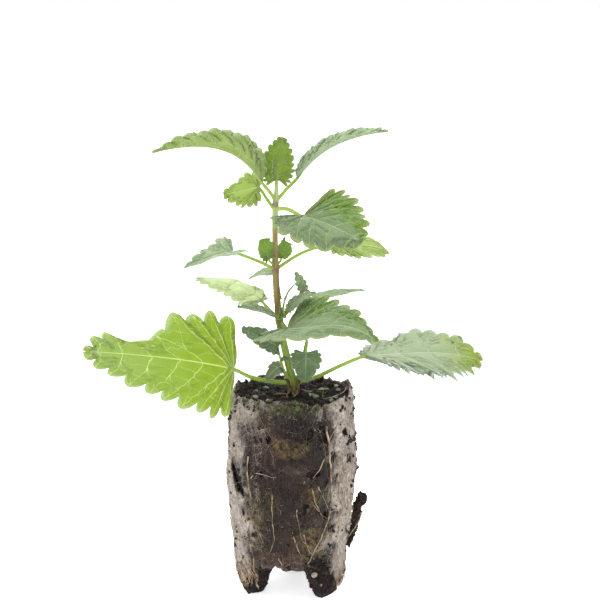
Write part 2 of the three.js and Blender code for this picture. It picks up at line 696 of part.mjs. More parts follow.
    stalks: [{ path: [[-5.1, 0.1, 136.2], [-5.1, -0.6, 136.9], [-5, -1.2, 137.9]], radii: [0.62, 0.6, 0.5] }],
    leaves: [
      { from: [-4.9, -1.4, 137.4], azimuth: 0, length: 14, width: 8.4, roll: 90, fold: -4, teeth: 8,
        tooth: 1.4, lobe: 0.14, hip: 1, fullness: 1.25,
        midrib: [[0, 0], [0.2, 4.4], [0.8, 9], [1.9, 13.4]] },
      { from: [-5, 0.6, 137.6], azimuth: 65, length: 11.5, width: 8, roll: 80, fold: 10, teeth: 6, tooth: 1.1,
        lobe: 0.04, midrib: [[0, 0], [1.2, 3.6], [2, 7.4], [3.4, 11]] },
    ],
  },
];

function shootSolid(shoot) {
  const stalks = shoot.stalks.map(({ path, radii }) => {
    const points = path.map((p) => new THREE.Vector3(...p));
    return tube(points, radii, 5, 2 * (points.length - 1));
  });
  const leaves = shoot.leaves.map((leaf) => leafSolid(leaf, smallLeafDefaults));
  return [...stalks, ...leaves].reduce((sum, piece) => sum.add(piece));
}

// The whole plant

const colours = {
  soil: 0x2b1d13, sleeve: 0x9a8a70, root: 0xb08a5a, stem: 0x6f8a3c, leaf: 0x7fae45,
};

const group = new THREE.Group();

function addMesh(name, solid, colour, roughness = 0.8) {
  const material = new THREE.MeshStandardMaterial({ color: colour, roughness, metalness: 0 });
  const mesh = new THREE.Mesh(toGeometry(solid), material);
  mesh.name = name;
  group.add(mesh);
}

addMesh('soil_plug', soilCore(), colours.soil, 0.95);
addMesh('paper_sleeve', paperSleeve(), colours.sleeve, 0.95);
addMesh('soil_clump', soilClump(), colours.soil, 0.95);
for (const root of roots) addMesh(root.name, surfaceRoot(root.path), colours.root, 0.7);
addMesh('stem', stemSolid(), colours.stem, 0.7);
const stemRoom = stemSolid(fitGap);
for (const leaf of mainLeaves) addMesh(leaf.name, leafSolid(leaf).subtract(stemRoom), colours.leaf, 0.7);
for (const shoot of shoots) addMesh(shoot.name, shootSolid(shoot).subtract(stemRoom), colours.leaf, 0.7);

export default group;
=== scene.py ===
# Potted catmint: a young plant rooted in a paper-sleeved plug of growing mix.
# Sizes below are in millimetres and turned into metres where a mesh is made.
import bpy
import math
import numpy as np
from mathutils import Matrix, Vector, noise


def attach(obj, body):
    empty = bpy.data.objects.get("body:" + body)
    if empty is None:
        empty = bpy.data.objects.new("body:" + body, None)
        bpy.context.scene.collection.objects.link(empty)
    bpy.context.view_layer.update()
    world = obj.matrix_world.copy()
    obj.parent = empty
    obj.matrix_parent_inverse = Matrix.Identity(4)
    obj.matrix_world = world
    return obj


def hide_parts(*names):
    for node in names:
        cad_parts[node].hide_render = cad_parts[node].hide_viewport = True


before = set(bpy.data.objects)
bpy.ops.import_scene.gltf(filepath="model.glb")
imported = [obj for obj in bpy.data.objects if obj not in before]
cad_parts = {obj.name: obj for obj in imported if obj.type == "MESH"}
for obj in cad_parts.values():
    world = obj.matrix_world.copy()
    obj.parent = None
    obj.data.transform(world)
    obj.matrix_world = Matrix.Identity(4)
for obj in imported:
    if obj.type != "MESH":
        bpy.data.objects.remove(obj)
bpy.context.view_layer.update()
mm = 0.001
body = "root"
scene = bpy.context.scene
rng = np.random.default_rng(11)
print("stage: frame loaded")


# Small tools

def smooth(t):
    c = np.clip(t, 0, 1)
    return c * c * (3 - 2 * c)


def mix(a, b, t):
    return a + (b - a) * t


def noiseAt(points, size, seed, octaves):
    # Soft noise between about -1 and 1; size is the width of its lumps in mm
    out = np.zeros(points.shape[:-1])
    for k in range(octaves):
        places = points.reshape(-1, 3) * (2 ** k / size) + (seed, -seed, 0)
        wave = np.array([noise.noise(Vector(place)) for place in places.tolist()])
        out += 0.5 ** k * wave.reshape(out.shape)
    return out


def paint(colour):
    # Ordinary 0 to 255 values as linear light
    return tuple((v / 255 / 12.92) if v < 11 else ((v / 255 + 0.055) / 1.055) ** 2.4 for v in colour)


def polar(angle, radius, height):
    return np.stack([radius * np.cos(angle), radius * np.sin(angle), height], -1)


def unit(vectors):
    return vectors / np.linalg.norm(vectors, axis=-1, keepdims=True)


def addObject(name, data):
    made = bpy.data.objects.new(name, data)
    scene.collection.objects.link(made)
    return made


def setFloats(mesh, floats):
    for key, values in floats.items():
        layer = mesh.attributes.new(key, "FLOAT", "POINT")
        layer.data.foreach_set("value", np.asarray(values, dtype=np.float32))


def addPiece(name, points, faces, material, floats=None, uv=None):
    # points in mm; floats are point attributes; uv is one pair a point
    mesh = bpy.data.meshes.new(name)
    mesh.from_pydata((np.asarray(points) * mm).tolist(), [], [list(f) for f in faces])
    mesh.update()
    mesh.polygons.foreach_set("use_smooth", [True] * len(mesh.polygons))
    setFloats(mesh, floats or {})
    if uv is not None:
        corners = np.zeros(len(mesh.loops), dtype=np.int32)
        mesh.loops.foreach_get("vertex_index", corners)
        layer = mesh.uv_layers.new(name="LeafMap")
        layer.data.foreach_set("uv", np.asarray(uv, dtype=np.float32)[corners].ravel())
    mesh.materials.append(material)
    return addObject(name, mesh)


def keptMesh(source):
    # What the source's modifier makes, as a plain mesh
    graph = bpy.context.evaluated_depsgraph_get()
    return bpy.data.meshes.new_from_object(source.evaluated_get(graph))


def gridFaces(ids, closed=False):
    # Quads over a grid of point numbers, rows upwards, columns to the right as seen from outside
    if closed:
        ids = np.concatenate([ids, ids[:, :1]], axis=1)
    a, b, c, d = ids[:-1, :-1], ids[:-1, 1:], ids[1:, 1:], ids[1:, :-1]
    return np.stack([a, b, c, d], -1).reshape(-1, 4)


def ballFaces(ids):
    # The faces of a closed body: its rings, and one face over each end
    return [list(f) for f in gridFaces(ids, closed=True)] + [list(ids[0][::-1]), list(ids[-1])]


def tubeMesh(points, radii, sides, steps, shape=None):
    # A closed tapered tube along a smooth line through the points
    path = smoothLine(points, steps)
    along = unit(np.gradient(path, axis=0))
    across = np.array([0.0, 1.0, 0.0]) if abs(along[0][1]) < 0.8 else np.array([1.0, 0.0, 0.0])
    at = np.linspace(0, 1, len(path))
    radius = np.interp(at, np.linspace(0, 1, len(radii)), radii)
    turn = np.linspace(0, 2 * math.pi, sides, endpoint=False)
    rings = []
    for k, centre in enumerate(path):
        side = np.cross(along[k], across)
        side /= np.linalg.norm(side)
        across = np.cross(side, along[k])
        r = radius[k] * (shape(turn, at[k]) if shape else 1)
        rings.append(centre + np.outer(r * np.cos(turn), across) + np.outer(r * np.sin(turn), side))
    return np.concatenate(rings), ballFaces(np.arange(len(path) * sides).reshape(len(path), sides))


def between(a, b, start, end, t):
    # Where t is on the way from a at start to b at end
    return a * (end - t) / (end - start) + b * (t - start) / (end - start)


def smoothLine(points, steps):
    # Centripetal Catmull-Rom line, as a bent stalk grows
    p = np.asarray(points, dtype=float)
    p = np.concatenate([[2 * p[0] - p[1]], p, [2 * p[-1] - p[-2]]])
    spans = len(p) - 3
    out = []
    for value in np.linspace(0, spans, steps + 1):
        k = min(int(value), spans - 1)
        q = p[k:k + 4]
        knots = np.concatenate([[0], np.cumsum(np.linalg.norm(np.diff(q, axis=0), axis=1) ** 0.5)])
        t = mix(knots[1], knots[2], value - k)
        level = [between(q[i], q[i + 1], knots[i], knots[i + 1], t) for i in range(3)]
        pair = [between(level[i], level[i + 1], knots[i], knots[i + 2], t) for i in range(2)]
        out.append(between(pair[0], pair[1], knots[1], knots[2], t))
    return np.array(out)


# Materials

class Net:
    # A short way to write a node tree: add nodes, join sockets
    def __init__(self, tree):
        self.tree = tree
        tree.nodes.clear()

    def node(self, kind, values=None, **props):
        made = self.tree.nodes.new(kind)
        for key, value in props.items():
            setattr(made, key, value)
        for key, value in (values or {}).items():
            socket = made.inputs[key]
            if isinstance(value, bpy.types.NodeSocket):
                self.tree.links.new(value, socket)
            else:
                socket.default_value = (*value, 1.0) if socket.type == "RGBA" else value
        return made

    def math(self, operation, *values):
        return self.node("ShaderNodeMath", dict(enumerate(values)), operation=operation).outputs[0]

    def chain(self, operation, values):
        total = values[0]
        for value in values[1:]:
            total = self.math(operation, total, value)
        return total

    def times(self, *values):
        return self.chain("MULTIPLY", values)

    def plus(self, *values):
        return self.chain("ADD", values)

    def most(self, *values):
        return self.chain("MAXIMUM", values)


class Shader(Net):
    def __init__(self, name):
        self.material = bpy.data.materials.new(name)
        self.material.use_nodes = True
        super().__init__(self.material.node_tree)

    def ramp(self, value, low, high, toLow=0.0, toHigh=1.0):
        return self.node("ShaderNodeMapRange", {0: value, 1: low, 2: high, 3: toLow, 4: toHigh},
                         interpolation_type="SMOOTHSTEP").outputs[0]

    def swing(self, wave, reach):
        # A wave from 0 to 1 turned to both sides of nothing
        return self.times(self.math("SUBTRACT", wave, 0.5), reach)

    def gap(self, value, centre):
        return self.math("ABSOLUTE", self.math("SUBTRACT", value, centre))

    def colour(self, factor, a, b):
        # From a to b, which are sockets or colours of 0 to 255
        a, b = (end if isinstance(end, bpy.types.NodeSocket) else paint(end) for end in (a, b))
        return self.node("ShaderNodeMix", {0: factor, 6: a, 7: b}, data_type="RGBA").outputs[2]

    def attribute(self, name):
        return self.node("ShaderNodeAttribute", attribute_name=name).outputs["Fac"]

    def place(self, scale=(1000, 1000, 1000)):
        # One unit a millimetre
        coordinates = self.node("ShaderNodeTexCoord").outputs["Object"]
        return self.node("ShaderNodeMapping", {"Vector": coordinates, "Scale": scale}).outputs[0]

    def flatPlace(self):
        # The place on the flat blade or sheet, also one unit a millimetre
        return self.node("ShaderNodeUVMap", uv_map="LeafMap").outputs[0]

    def noise(self, place, scale, detail=2.0, roughness=0.5, distortion=0.0):
        values = {"Vector": place, "Scale": scale, "Detail": detail, "Roughness": roughness,
                  "Distortion": distortion}
        return self.node("ShaderNodeTexNoise", values).outputs[0]

    def voronoi(self, place, scale, feature="F1", output="Distance"):
        made = self.node("ShaderNodeTexVoronoi", {"Vector": place, "Scale": scale}, feature=feature)
        return made.outputs[output]

    def bump(self, height, distance):
        values = {"Height": height, "Distance": distance, "Strength": 1.0}
        return self.node("ShaderNodeBump", values).outputs[0]

    def finish(self, colour, normal=None, through=None, throughShare=0.0, **values):
        values = {key.replace("_", " "): value for key, value in values.items()}
        facing = {"Normal": normal} if normal else {}
        surface = self.node("ShaderNodeBsdfPrincipled", {"Base Color": colour, **values, **facing}).outputs[0]
        if through is not None:
            glow = self.node("ShaderNodeBsdfTranslucent", {"Color": through, **facing}).outputs[0]
            surface = self.node("ShaderNodeMixShader", {0: throughShare, 1: surface, 2: glow}).outputs[0]
        self.node("ShaderNodeOutputMaterial", {0: surface})
        return self.material


soilColours = {"darkDamp": (16, 11, 10), "damp": (32, 23, 20), "brown": (66, 46, 38), "bark": (88, 60, 46),
               "paleBits": (190, 170, 146)}


def soilMaterial(colours):
    s = Shader("growingMix")
    place = s.place()
    lumps = s.noise(place, 0.6, 5, 0.68)
    grains = s.voronoi(place, 1.6)
    damp = s.ramp(s.noise(place, 0.14, 3, 0.5), 0.38, 0.62)
    dark = s.colour(damp, colours["darkDamp"], colours["damp"])
    colour = s.colour(s.ramp(lumps, 0.48, 0.72), dark, colours["brown"])
    bits = s.voronoi(place, 1.1, output="Color")
    middle = s.ramp(s.voronoi(place, 1.1), 0.42, 0.2)
    for key, least in (("bark", 0.80), ("paleBits", 0.93)):
        colour = s.colour(s.times(s.math("GREATER_THAN", bits, least), middle), colour, colours[key])
    height = s.plus(s.times(lumps, 0.8), s.times(grains, -0.5))
    return s.finish(colour, s.bump(height, 0.7 * mm), Roughness=0.8, Specular_IOR_Level=0.3)


def plainMaterial(name, light, dark, size, rough, through=None, share=0.0):
    # size is how many of its lumps lie in a millimetre; share is how much of the light comes through
    s = Shader(name)
    shade = s.noise(s.place(), size, 3, 0.6)
    colour = s.colour(s.ramp(shade, 0.38, 0.62), dark, light)
    return s.finish(colour, s.bump(shade, 0.1 * mm), paint(through) if through else None, share,
                    Roughness=rough, Specular_IOR_Level=0.3)


def strandMaterial():
    # Fine fibres take the stain of the sheet they lie on
    s = Shader("rootHair")
    shade = s.ramp(s.noise(s.place(), 0.4, 3, 0.6), 0.38, 0.62)
    clean = s.colour(shade, (176, 160, 140), (212, 202, 186))
    stained = s.colour(shade, (40, 29, 24), (84, 68, 59))
    return s.finish(s.colour(s.attribute("shade"), clean, stained), Roughness=0.8, Specular_IOR_Level=0.2)


soilLook = soilMaterial(soilColours)
strandLook = strandMaterial()
hairLook = plainMaterial("hair", (222, 230, 212), (200, 212, 184), 0.5, 0.5, (235, 240, 225), 0.5)
rootLook = plainMaterial("rootSkin", (164, 144, 118), (96, 76, 60), 0.45, 0.6)
fringeLook = plainMaterial("lobeRoots", (190, 170, 142), (104, 80, 58), 0.3, 0.7)
mossLook = plainMaterial("moss", (88, 96, 50), (34, 38, 22), 0.5, 0.7, (96, 104, 46), 0.15)
stoneLook = plainMaterial("palePebble", (168, 158, 146), (120, 110, 100), 0.9, 0.6)
sproutLook = plainMaterial("sprout", (150, 166, 116), (96, 112, 72), 0.8, 0.6, (150, 180, 90), 0.25)
liverwortLook = plainMaterial("liverwort", (148, 152, 122), (78, 84, 60), 0.6, 0.7, (160, 176, 120), 0.15)
oliveLook = plainMaterial("oldStub", (112, 100, 62), (66, 54, 34), 0.6, 0.6, (110, 100, 50), 0.1)
scrapLook = plainMaterial("scrap", (108, 80, 62), (52, 36, 28), 0.5, 0.7)
scaleLook = plainMaterial("budScale", (136, 98, 80), (74, 44, 36), 0.6, 0.5, (130, 70, 50), 0.15)
fuzzLook = plainMaterial("paperFibre", (190, 180, 166), (96, 82, 70), 0.3, 0.8)

# The sheet's paints; each stain is also the name of its mask on the sheet
stains = ("grime", "algae", "ochre", "blush")
sleeveColours = {
    "darkPaper": (114, 98, 88), "paper": (208, 198, 188), "grey": (106, 92, 86), "tan": (164, 138, 116),
    "darkDamp": (16, 10, 9), "damp": (58, 42, 37), "deepDamp": (20, 13, 12), "strands": (196, 184, 170),
    "blush": (98, 73, 62), "ochre": (116, 98, 46), "algae": (60, 61, 32), "specks": (28, 20, 18),
    # Turn, lines in a millimetre and seed of the long fibres
    "slants": ((0.3, 1.9, 3.0), (-0.8, 1.5, 11.0), (1.3, 1.3, 29.0)),
}


def sleeveMaterial(colours):
    s = Shader("sleevePaper")
    place = s.place()
    grime, algae, ochre, blush = (s.attribute(key) for key in stains)
    felt = s.noise(place, 1.0, 5, 0.72, 0.3)
    blotch = s.noise(place, 0.17, 4, 0.62, 0.5)
    lines = []
    for turn, size, seed in colours["slants"]:
        laid = {"Vector": s.flatPlace(), "Rotation": (0, 0, turn), "Location": (seed, seed, 0),
                "Scale": (size, size * 0.09, 1)}
        wave = s.noise(s.node("ShaderNodeMapping", laid).outputs[0], 1.0, 3, 0.55, 0.25)
        lines.append(s.ramp(s.gap(wave, 0.5), 0.035, 0.004))
    paper = s.colour(s.ramp(felt, 0.38, 0.66), colours["darkPaper"], colours["paper"])
    paper = s.colour(s.times(s.ramp(blotch, 0.45, 0.68), 0.75), paper, colours["grey"])
    tan = s.ramp(s.noise(place, 0.45, 3, 0.6), 0.55, 0.7)
    paper = s.colour(s.times(tan, 0.5), paper, colours["tan"])
    grain = s.ramp(s.noise(place, 2.1, 4, 0.75), 0.40, 0.62)
    damp = s.colour(s.times(s.ramp(felt, 0.40, 0.70), grain), colours["darkDamp"], colours["damp"])
    damp = s.colour(s.times(s.ramp(blotch, 0.44, 0.60), 0.75), damp, colours["deepDamp"])
    dampness = s.plus(grime, s.swing(felt, 1.2), s.swing(blotch, 1.5))
    colour = s.colour(s.ramp(dampness, 0.12, 0.6), paper, damp)
    spots = {"blush": s.times(blush, s.ramp(felt, 0.30, 0.55), 0.55),
             "ochre": s.times(ochre, s.ramp(s.noise(place, 0.7, 4, 0.7), 0.42, 0.56), 0.5),
             "algae": s.times(algae, s.ramp(s.noise(place, 0.8, 4, 0.7), 0.42, 0.58), 0.8),
             "strands": s.times(s.most(*lines), s.ramp(s.noise(place, 3.2, 3, 0.6), 0.34, 0.62),
                                s.ramp(grime, 0.8, 0.1, 0.05, 0.6))}
    dots = s.times(s.ramp(s.voronoi(place, 0.5), 0.26, 0.12), s.ramp(s.noise(place, 0.3), 0.47, 0.58))
    small = s.times(s.ramp(s.voronoi(place, 1.4), 0.22, 0.1), s.ramp(s.noise(place, 0.5), 0.50, 0.6))
    spots["specks"] = s.most(dots, small)
    for key, share in spots.items():
        colour = s.colour(share, colour, colours[key])
    height = s.plus(s.times(spots["strands"], 0.5), s.times(felt, 0.7))
    return s.finish(colour, s.bump(height, 0.5 * mm), Roughness=0.95, Specular_IOR_Level=0.15,
                    Sheen_Weight=0.15, Sheen_Roughness=0.5)


sleeveLook = sleeveMaterial(sleeveColours)

# Half widths of the veins in mm, at the start and the end of each; crest is where a lobe's vein ends
veinSizes = {"side": (0.22, 0.13), "fork": (0.18, 0.11), "rib": (0.32, 0.16), "link": 0.10, "linkGap": 2.9,
             "crest": 1.6}


def veinLines(s, flat, widen, every):
    # Side veins run to each lobe or every second one, a fork leaves each for the lobe before, short ones
    # link them. All distances are in mm on the blade
    lobe, share, spacing, reach = (s.attribute(key) for key in ("lobePlace", "across", "spacing", "reach"))
    place = s.plus(lobe, s.swing(s.noise(flat, 0.3), 0.3))
    linkGap = veinSizes["linkGap"]

    def gapTo(value, centre, period):
        return s.gap(s.math("WRAP", value, centre + period / 2, centre - period / 2), centre)

    def line(gap, half):
        return s.ramp(s.math("DIVIDE", gap, half), 1.35, 0.45)

    def halfWidth(kind, value, start):
        wide, narrow = veinSizes[kind]
        return s.ramp(value, start, 1.0, wide * widen, narrow * widen)

    def sideVein(kind, at, start):
        return line(s.times(gapTo(at, veinSizes["crest"], every), spacing), halfWidth(kind, share, start))

    side = sideVein("side", place, 0.0)
    fork = sideVein("fork", s.plus(place, s.ramp(share, 0.40, 0.98)), 0.3)
    rib = line(reach, halfWidth("rib", s.attribute("along"), 0.0))
    strip = s.times(s.math("FLOOR", s.math("SUBTRACT", place, 0.6)), 0.41)
    slant = s.times(place, 0.55)
    uneven = s.times(s.noise(flat, 0.22), 0.9)
    step = s.plus(s.math("DIVIDE", reach, linkGap), slant, strip, uneven)
    link = line(s.times(gapTo(step, 0.0, 1.0), linkGap), veinSizes["link"] * widen)
    return s.most(side, fork, rib), s.times(link, s.ramp(reach, 1.2, 2.4), 0.75)


# net, veinShow and edge are how strongly links, veins and the rim are painted, tip how much of the tip is
# another colour, through how much light comes through, and specks the share of the blade with dots
lookDefaults = {"net": 0.7, "veinShow": 0.85, "veinEvery": 2, "veinWidth": 1.0, "tip": 0.0, "tipFrom": 0.6,
                "edge": 0.55, "edgeColour": (196, 210, 182), "specks": 0.0, "speckColour": (84, 62, 60),
                "through": 0.45, "sheen": 0.25, "stalk": (166, 186, 92), "stalkGlow": (160, 186, 60)}


def leafMaterial(name, look, widen):
    # face and under are the two sides, vein the veins, glow the light that comes through
    look = {**lookDefaults, **look}
    s = Shader(name)
    flat = s.flatPlace()
    along, across, under, clear, stalk = (s.attribute(key) for key in
                                          ("along", "across", "underside", "clear", "stalk"))
    strong, link = veinLines(s, flat, widen * look["veinWidth"], look["veinEvery"])
    veins = s.most(strong, s.times(link, look["net"]))
    cells = s.noise(flat, 0.3, 4, 0.6)
    patch = s.ramp(cells, 0.35, 0.65)
    face = s.colour(patch, look["faceDark"], look["face"])
    glow = s.colour(veins, look["glow"], look["veinGlow"])
    # Painted light: on the clear half the face and glow are painted a saturated green, as where light comes
    # through the blade from behind
    if "paintedBacklitFace" in look:
        face = s.colour(clear, face, look["paintedBacklitFace"])
        glow = s.colour(s.times(clear, s.math("SUBTRACT", 1.0, veins)), glow, look["paintedBacklitGlow"])
    if look["tip"]:
        ahead = s.plus(along, s.swing(cells, 0.5))
        face = s.colour(s.times(s.ramp(ahead, look["tipFrom"], 1.0), look["tip"]), face, look["tipColour"])
    colour = s.colour(under, face, s.colour(patch, look["under"], face))
    colour = s.colour(s.times(veins, look["veinShow"]), colour, look["vein"])
    colour = s.colour(s.times(s.ramp(across, 0.90, 0.975), look["edge"]), colour, look["edgeColour"])
    if look["specks"]:
        chosen = s.math("GREATER_THAN", s.voronoi(flat, 0.22, output="Color"), 1 - look["specks"])
        dots = s.times(s.ramp(s.voronoi(flat, 0.22), 0.2, 0.11), chosen, 0.8)
        colour = s.colour(dots, colour, look["speckColour"])
    colour = s.colour(stalk, colour, look["stalk"])
    glow = s.colour(stalk, glow, look["stalkGlow"])
    # Veins are sunk on the upper side and stand out below
    sunk = s.times(veins, s.math("MULTIPLY_ADD", under, -2.0, 1.0), -1.1)
    felt = s.times(s.noise(flat, 2.6, 3, 0.65), 0.3)
    fineNet = s.times(s.ramp(s.voronoi(flat, 1.1, "DISTANCE_TO_EDGE"), 0.0, 0.3), 0.3)
    return s.finish(colour, s.bump(s.plus(sunk, felt, fineNet), 0.2 * mm), glow, look["through"],
                    Roughness=0.6, Specular_IOR_Level=0.3, Sheen_Weight=look["sheen"],
                    Sheen_Roughness=0.45, Sheen_Tint=(0.85, 0.95, 0.85))


# Camera and stage

cameraSizes = {"place": (2.44, -508.6, 205.8), "downDegrees": 12.0, "lens": 96.0, "sensor": 36.0,
               "nearMetres": 0.01, "farMetres": 20}


def makeCamera(sizes):
    data = bpy.data.cameras.new("camera")
    data.lens = sizes["lens"]
    data.sensor_width = sizes["sensor"]
    data.clip_start = sizes["nearMetres"]
    data.clip_end = sizes["farMetres"]
    camera = addObject("camera", data)
    camera.location = Vector(sizes["place"]) * mm
    camera.rotation_euler = (math.radians(90 - sizes["downDegrees"]), 0, 0)
    scene.camera = camera


# Reach in metres, and how bright the floor and the world round it are
stageSizes = {"reach": 6.0, "white": 0.9, "glow": 0.6, "frontGlow": 0.8, "backGlow": 1.25,
              "worldColour": (0.97, 0.99, 1)}


def makeFloor(sizes):
    reach, white = sizes["reach"], sizes["white"]
    mesh = bpy.data.meshes.new("floor")
    mesh.from_pydata([(-reach, -reach, 0), (reach, -reach, 0), (reach, reach, 0), (-reach, reach, 0)], [],
                     [(0, 1, 2, 3)])
    s = Shader("paleFloor")
    mesh.materials.append(s.finish((white, white, white), Roughness=0.9, Specular_IOR_Level=0.1,
                                   Emission_Color=(1, 1, 1), Emission_Strength=sizes["glow"]))
    floor = addObject("floor", mesh)


def makeWorld(sizes):
    # White to the camera, and a soft light from all round that is stronger from behind
    world = bpy.data.worlds.new("softWorld")
    world.use_nodes = True
    w = Net(world.node_tree)
    direction = w.node("ShaderNodeTexCoord").outputs["Generated"]
    behind = w.node("ShaderNodeSeparateXYZ", {0: direction}).outputs[1]
    level = w.node("ShaderNodeMapRange", {0: behind, 1: -1.0, 2: 1.0, 3: sizes["frontGlow"],
                                          4: sizes["backGlow"]}).outputs[0]
    fill = w.node("ShaderNodeBackground", {0: sizes["worldColour"], 1: level}).outputs[0]
    seen = w.node("ShaderNodeBackground", {0: (1, 1, 1), 1: 1.0}).outputs[0]
    ray = w.node("ShaderNodeLightPath").outputs["Is Camera Ray"]
    w.node("ShaderNodeOutputWorld", {0: w.node("ShaderNodeMixShader", {0: ray, 1: fill, 2: seen}).outputs[0]})
    scene.world = world
    scene.view_settings.view_transform = "Standard"


# Places and sizes in metres, power in watts
lampSizes = [
    {"name": "backLight", "place": (0.0, 0.75, 0.55), "aim": (0, 0, 0.10), "size": 1.1, "power": 11.0},
    {"name": "topLight", "place": (0.0, 0.1, 1.0), "aim": (0, 0, 0.08), "size": 0.9, "power": 8.0},
    {"name": "frontLight", "place": (-0.35, -0.9, 0.55), "aim": (0, 0, 0.08), "size": 0.8, "power": 3.0},
]


def makeLamps(lamps):
    for lamp in lamps:
        data = bpy.data.lights.new(lamp["name"], "AREA")
        data.shape = "SQUARE"
        data.size = lamp["size"]
        data.energy = lamp["power"]
        light = addObject(lamp["name"], data)
        place = Vector(lamp["place"])
        light.location = place
        light.rotation_euler = (place - Vector(lamp["aim"])).to_track_quat("Z", "Y").to_euler()


makeCamera(cameraSizes)
makeFloor(stageSizes)
makeWorld(stageSizes)
makeLamps(lampSizes)
print("stage: camera, floor and lights")


# Geometry Nodes: repeats scattered on a piece

class Growth(Net):
    def __init__(self, name, inputs):
        super().__init__(bpy.data.node_groups.new(name, "GeometryNodeTree"))
        face = self.tree.interface
        for way in ("OUTPUT", "INPUT"):
            face.new_socket(name="Geometry", in_out=way, socket_type="NodeSocketGeometry")
        self.names = {}
        for key, value in inputs.items():
            kind = "NodeSocketInt" if isinstance(value, int) else "NodeSocketFloat"
            socket = face.new_socket(name=key, in_out="INPUT", socket_type=kind)
            socket.default_value = value
            self.names[key] = socket.identifier
        self.start = self.node("NodeGroupInput")

    def given(self, key):
        return self.start.outputs[key]

    def attribute(self, name):
        return self.node("GeometryNodeInputNamedAttribute", {"Name": name}, data_type="FLOAT").outputs[0]

    def random(self, low, high, seed=0):
        # One draw for each copy: a number, or a vector where low and high are no plain numbers
        first, kind = (2, "FLOAT") if isinstance(low, float) else (0, "FLOAT_VECTOR")
        values = {first: low, first + 1: high, "Seed": seed}
        return self.node("FunctionNodeRandomValue", values, data_type=kind).outputs[first // 2]

    def vector(self, operation, values):
        return self.node("ShaderNodeVectorMath", values, operation=operation).outputs[0]

    def dots(self, layer):
        # Density is the number of points on a square millimetre where the layer is 1
        density = self.times(self.given("Density"), 1e6, self.attribute(layer))
        return self.node("GeometryNodeDistributePointsOnFaces",
                         {"Mesh": self.given("Geometry"), "Density": density, "Seed": self.given("Seed")})

    def copies(self, dots, shape, rotation, scale):
        return self.node("GeometryNodeInstanceOnPoints", {"Points": dots.outputs[0], "Instance": shape,
                                                          "Rotation": rotation, "Scale": scale}).outputs[0]

    def wander(self, geometry, scale, reach):
        position = self.node("GeometryNodeInputPosition").outputs[0]
        wave = self.node("ShaderNodeTexNoise", {"Vector": position, "Scale": scale, "Detail": 1.0})
        centred = self.vector("SUBTRACT", {0: wave.outputs["Color"], 1: (0.5, 0.5, 0.5)})
        push = self.vector("SCALE", {0: centred, "Scale": reach})
        return self.node("GeometryNodeSetPosition", {"Geometry": geometry, "Offset": push}).outputs[0]

    def finish(self, geometry, material):
        whole = self.node("GeometryNodeRealizeInstances", {"Geometry": geometry}).outputs[0]
        painted = self.node("GeometryNodeSetMaterial", {"Geometry": whole, "Material": material}).outputs[0]
        self.node("NodeGroupOutput", {0: painted})
        return self


def grow(growth, source, name, values):
    # Runs a growth on a source object and keeps the result as a plain mesh
    holder = addObject(name + "Source", source.data)
    modifier = holder.modifiers.new("grow", "NODES")
    modifier.node_group = growth.tree
    for key, value in values.items():
        modifier[growth.names[key]] = value
    mesh = keptMesh(holder)
    mesh.name = name
    holder.modifiers.remove(modifier)
    bpy.data.objects.remove(holder)
    return addObject(name, mesh)


def hairTree(name, material):
    # Cones that stand on the faces; the attribute "hairs" says where they are thick
    t = Growth(name, {"Density": 1.0, "Length": 0.5, "Radius": 0.03, "Lean": 0.5, "Seed": 0})
    dots = t.dots("hairs")
    length, radius = (t.times(t.given(key), mm) for key in ("Length", "Radius"))
    cone = t.node("GeometryNodeMeshCone", {"Vertices": 3, "Radius Top": 0.0, "Radius Bottom": radius,
                                           "Depth": length}, fill_type="TRIANGLE_FAN").outputs[0]
    lean = t.given("Lean")
    back = t.times(lean, -1.0)
    high = t.node("ShaderNodeCombineXYZ", {0: lean, 1: lean, 2: 3.0}).outputs[0]
    low = t.node("ShaderNodeCombineXYZ", {0: back, 1: back, 2: -3.0}).outputs[0]
    turned = t.node("FunctionNodeRotateRotation", {"Rotation": dots.outputs["Rotation"],
                                                   "Rotate By": t.random(low, high)},
                    rotation_space="LOCAL").outputs[0]
    return t.finish(t.copies(dots, cone, turned, t.random(0.5, 1.3, 7)), material)


def crumbTree(name, material, layer):
    # Lumpy grains, many small and few large; the layer is the attribute that says where they lie
    t = Growth(name, {"Density": 1.0, "Size": 0.5, "Smallest": 0.3, "Seed": 0})
    dots = t.dots(layer)
    ball = t.node("GeometryNodeMeshIcoSphere", {"Radius": mm, "Subdivisions": 1}).outputs[0]
    spin = t.node("FunctionNodeEulerToRotation", {0: t.random((0, 0, 0), (6.3, 6.3, 6.3))}).outputs[0]
    wide = t.node("ShaderNodeMapRange", {0: t.math("POWER", t.random(0.0, 1.0, 3), 3.0), 1: 0.0, 2: 1.0,
                                         3: t.given("Smallest"), 4: 1.0}).outputs[0]
    stretch = t.random((0.6, 0.6, 0.5), (1.3, 1.3, 1.0), 5)
    scale = t.vector("SCALE", {0: stretch, "Scale": t.times(wide, t.given("Size"))})
    whole = t.node("GeometryNodeRealizeInstances", {0: t.copies(dots, ball, spin, scale)}).outputs[0]
    moved = t.wander(whole, 2400.0, 0.4 * mm)
    # Nothing reaches below the surface the plug stands on
    split = t.node("ShaderNodeSeparateXYZ", {0: t.node("GeometryNodeInputPosition").outputs[0]})
    raised = t.node("ShaderNodeCombineXYZ", {0: split.outputs[0], 1: split.outputs[1],
                                             2: t.most(split.outputs[2], 0.0)}).outputs[0]
    stood = t.node("GeometryNodeSetPosition", {"Geometry": moved, "Position": raised}).outputs[0]
    return t.finish(stood, material)


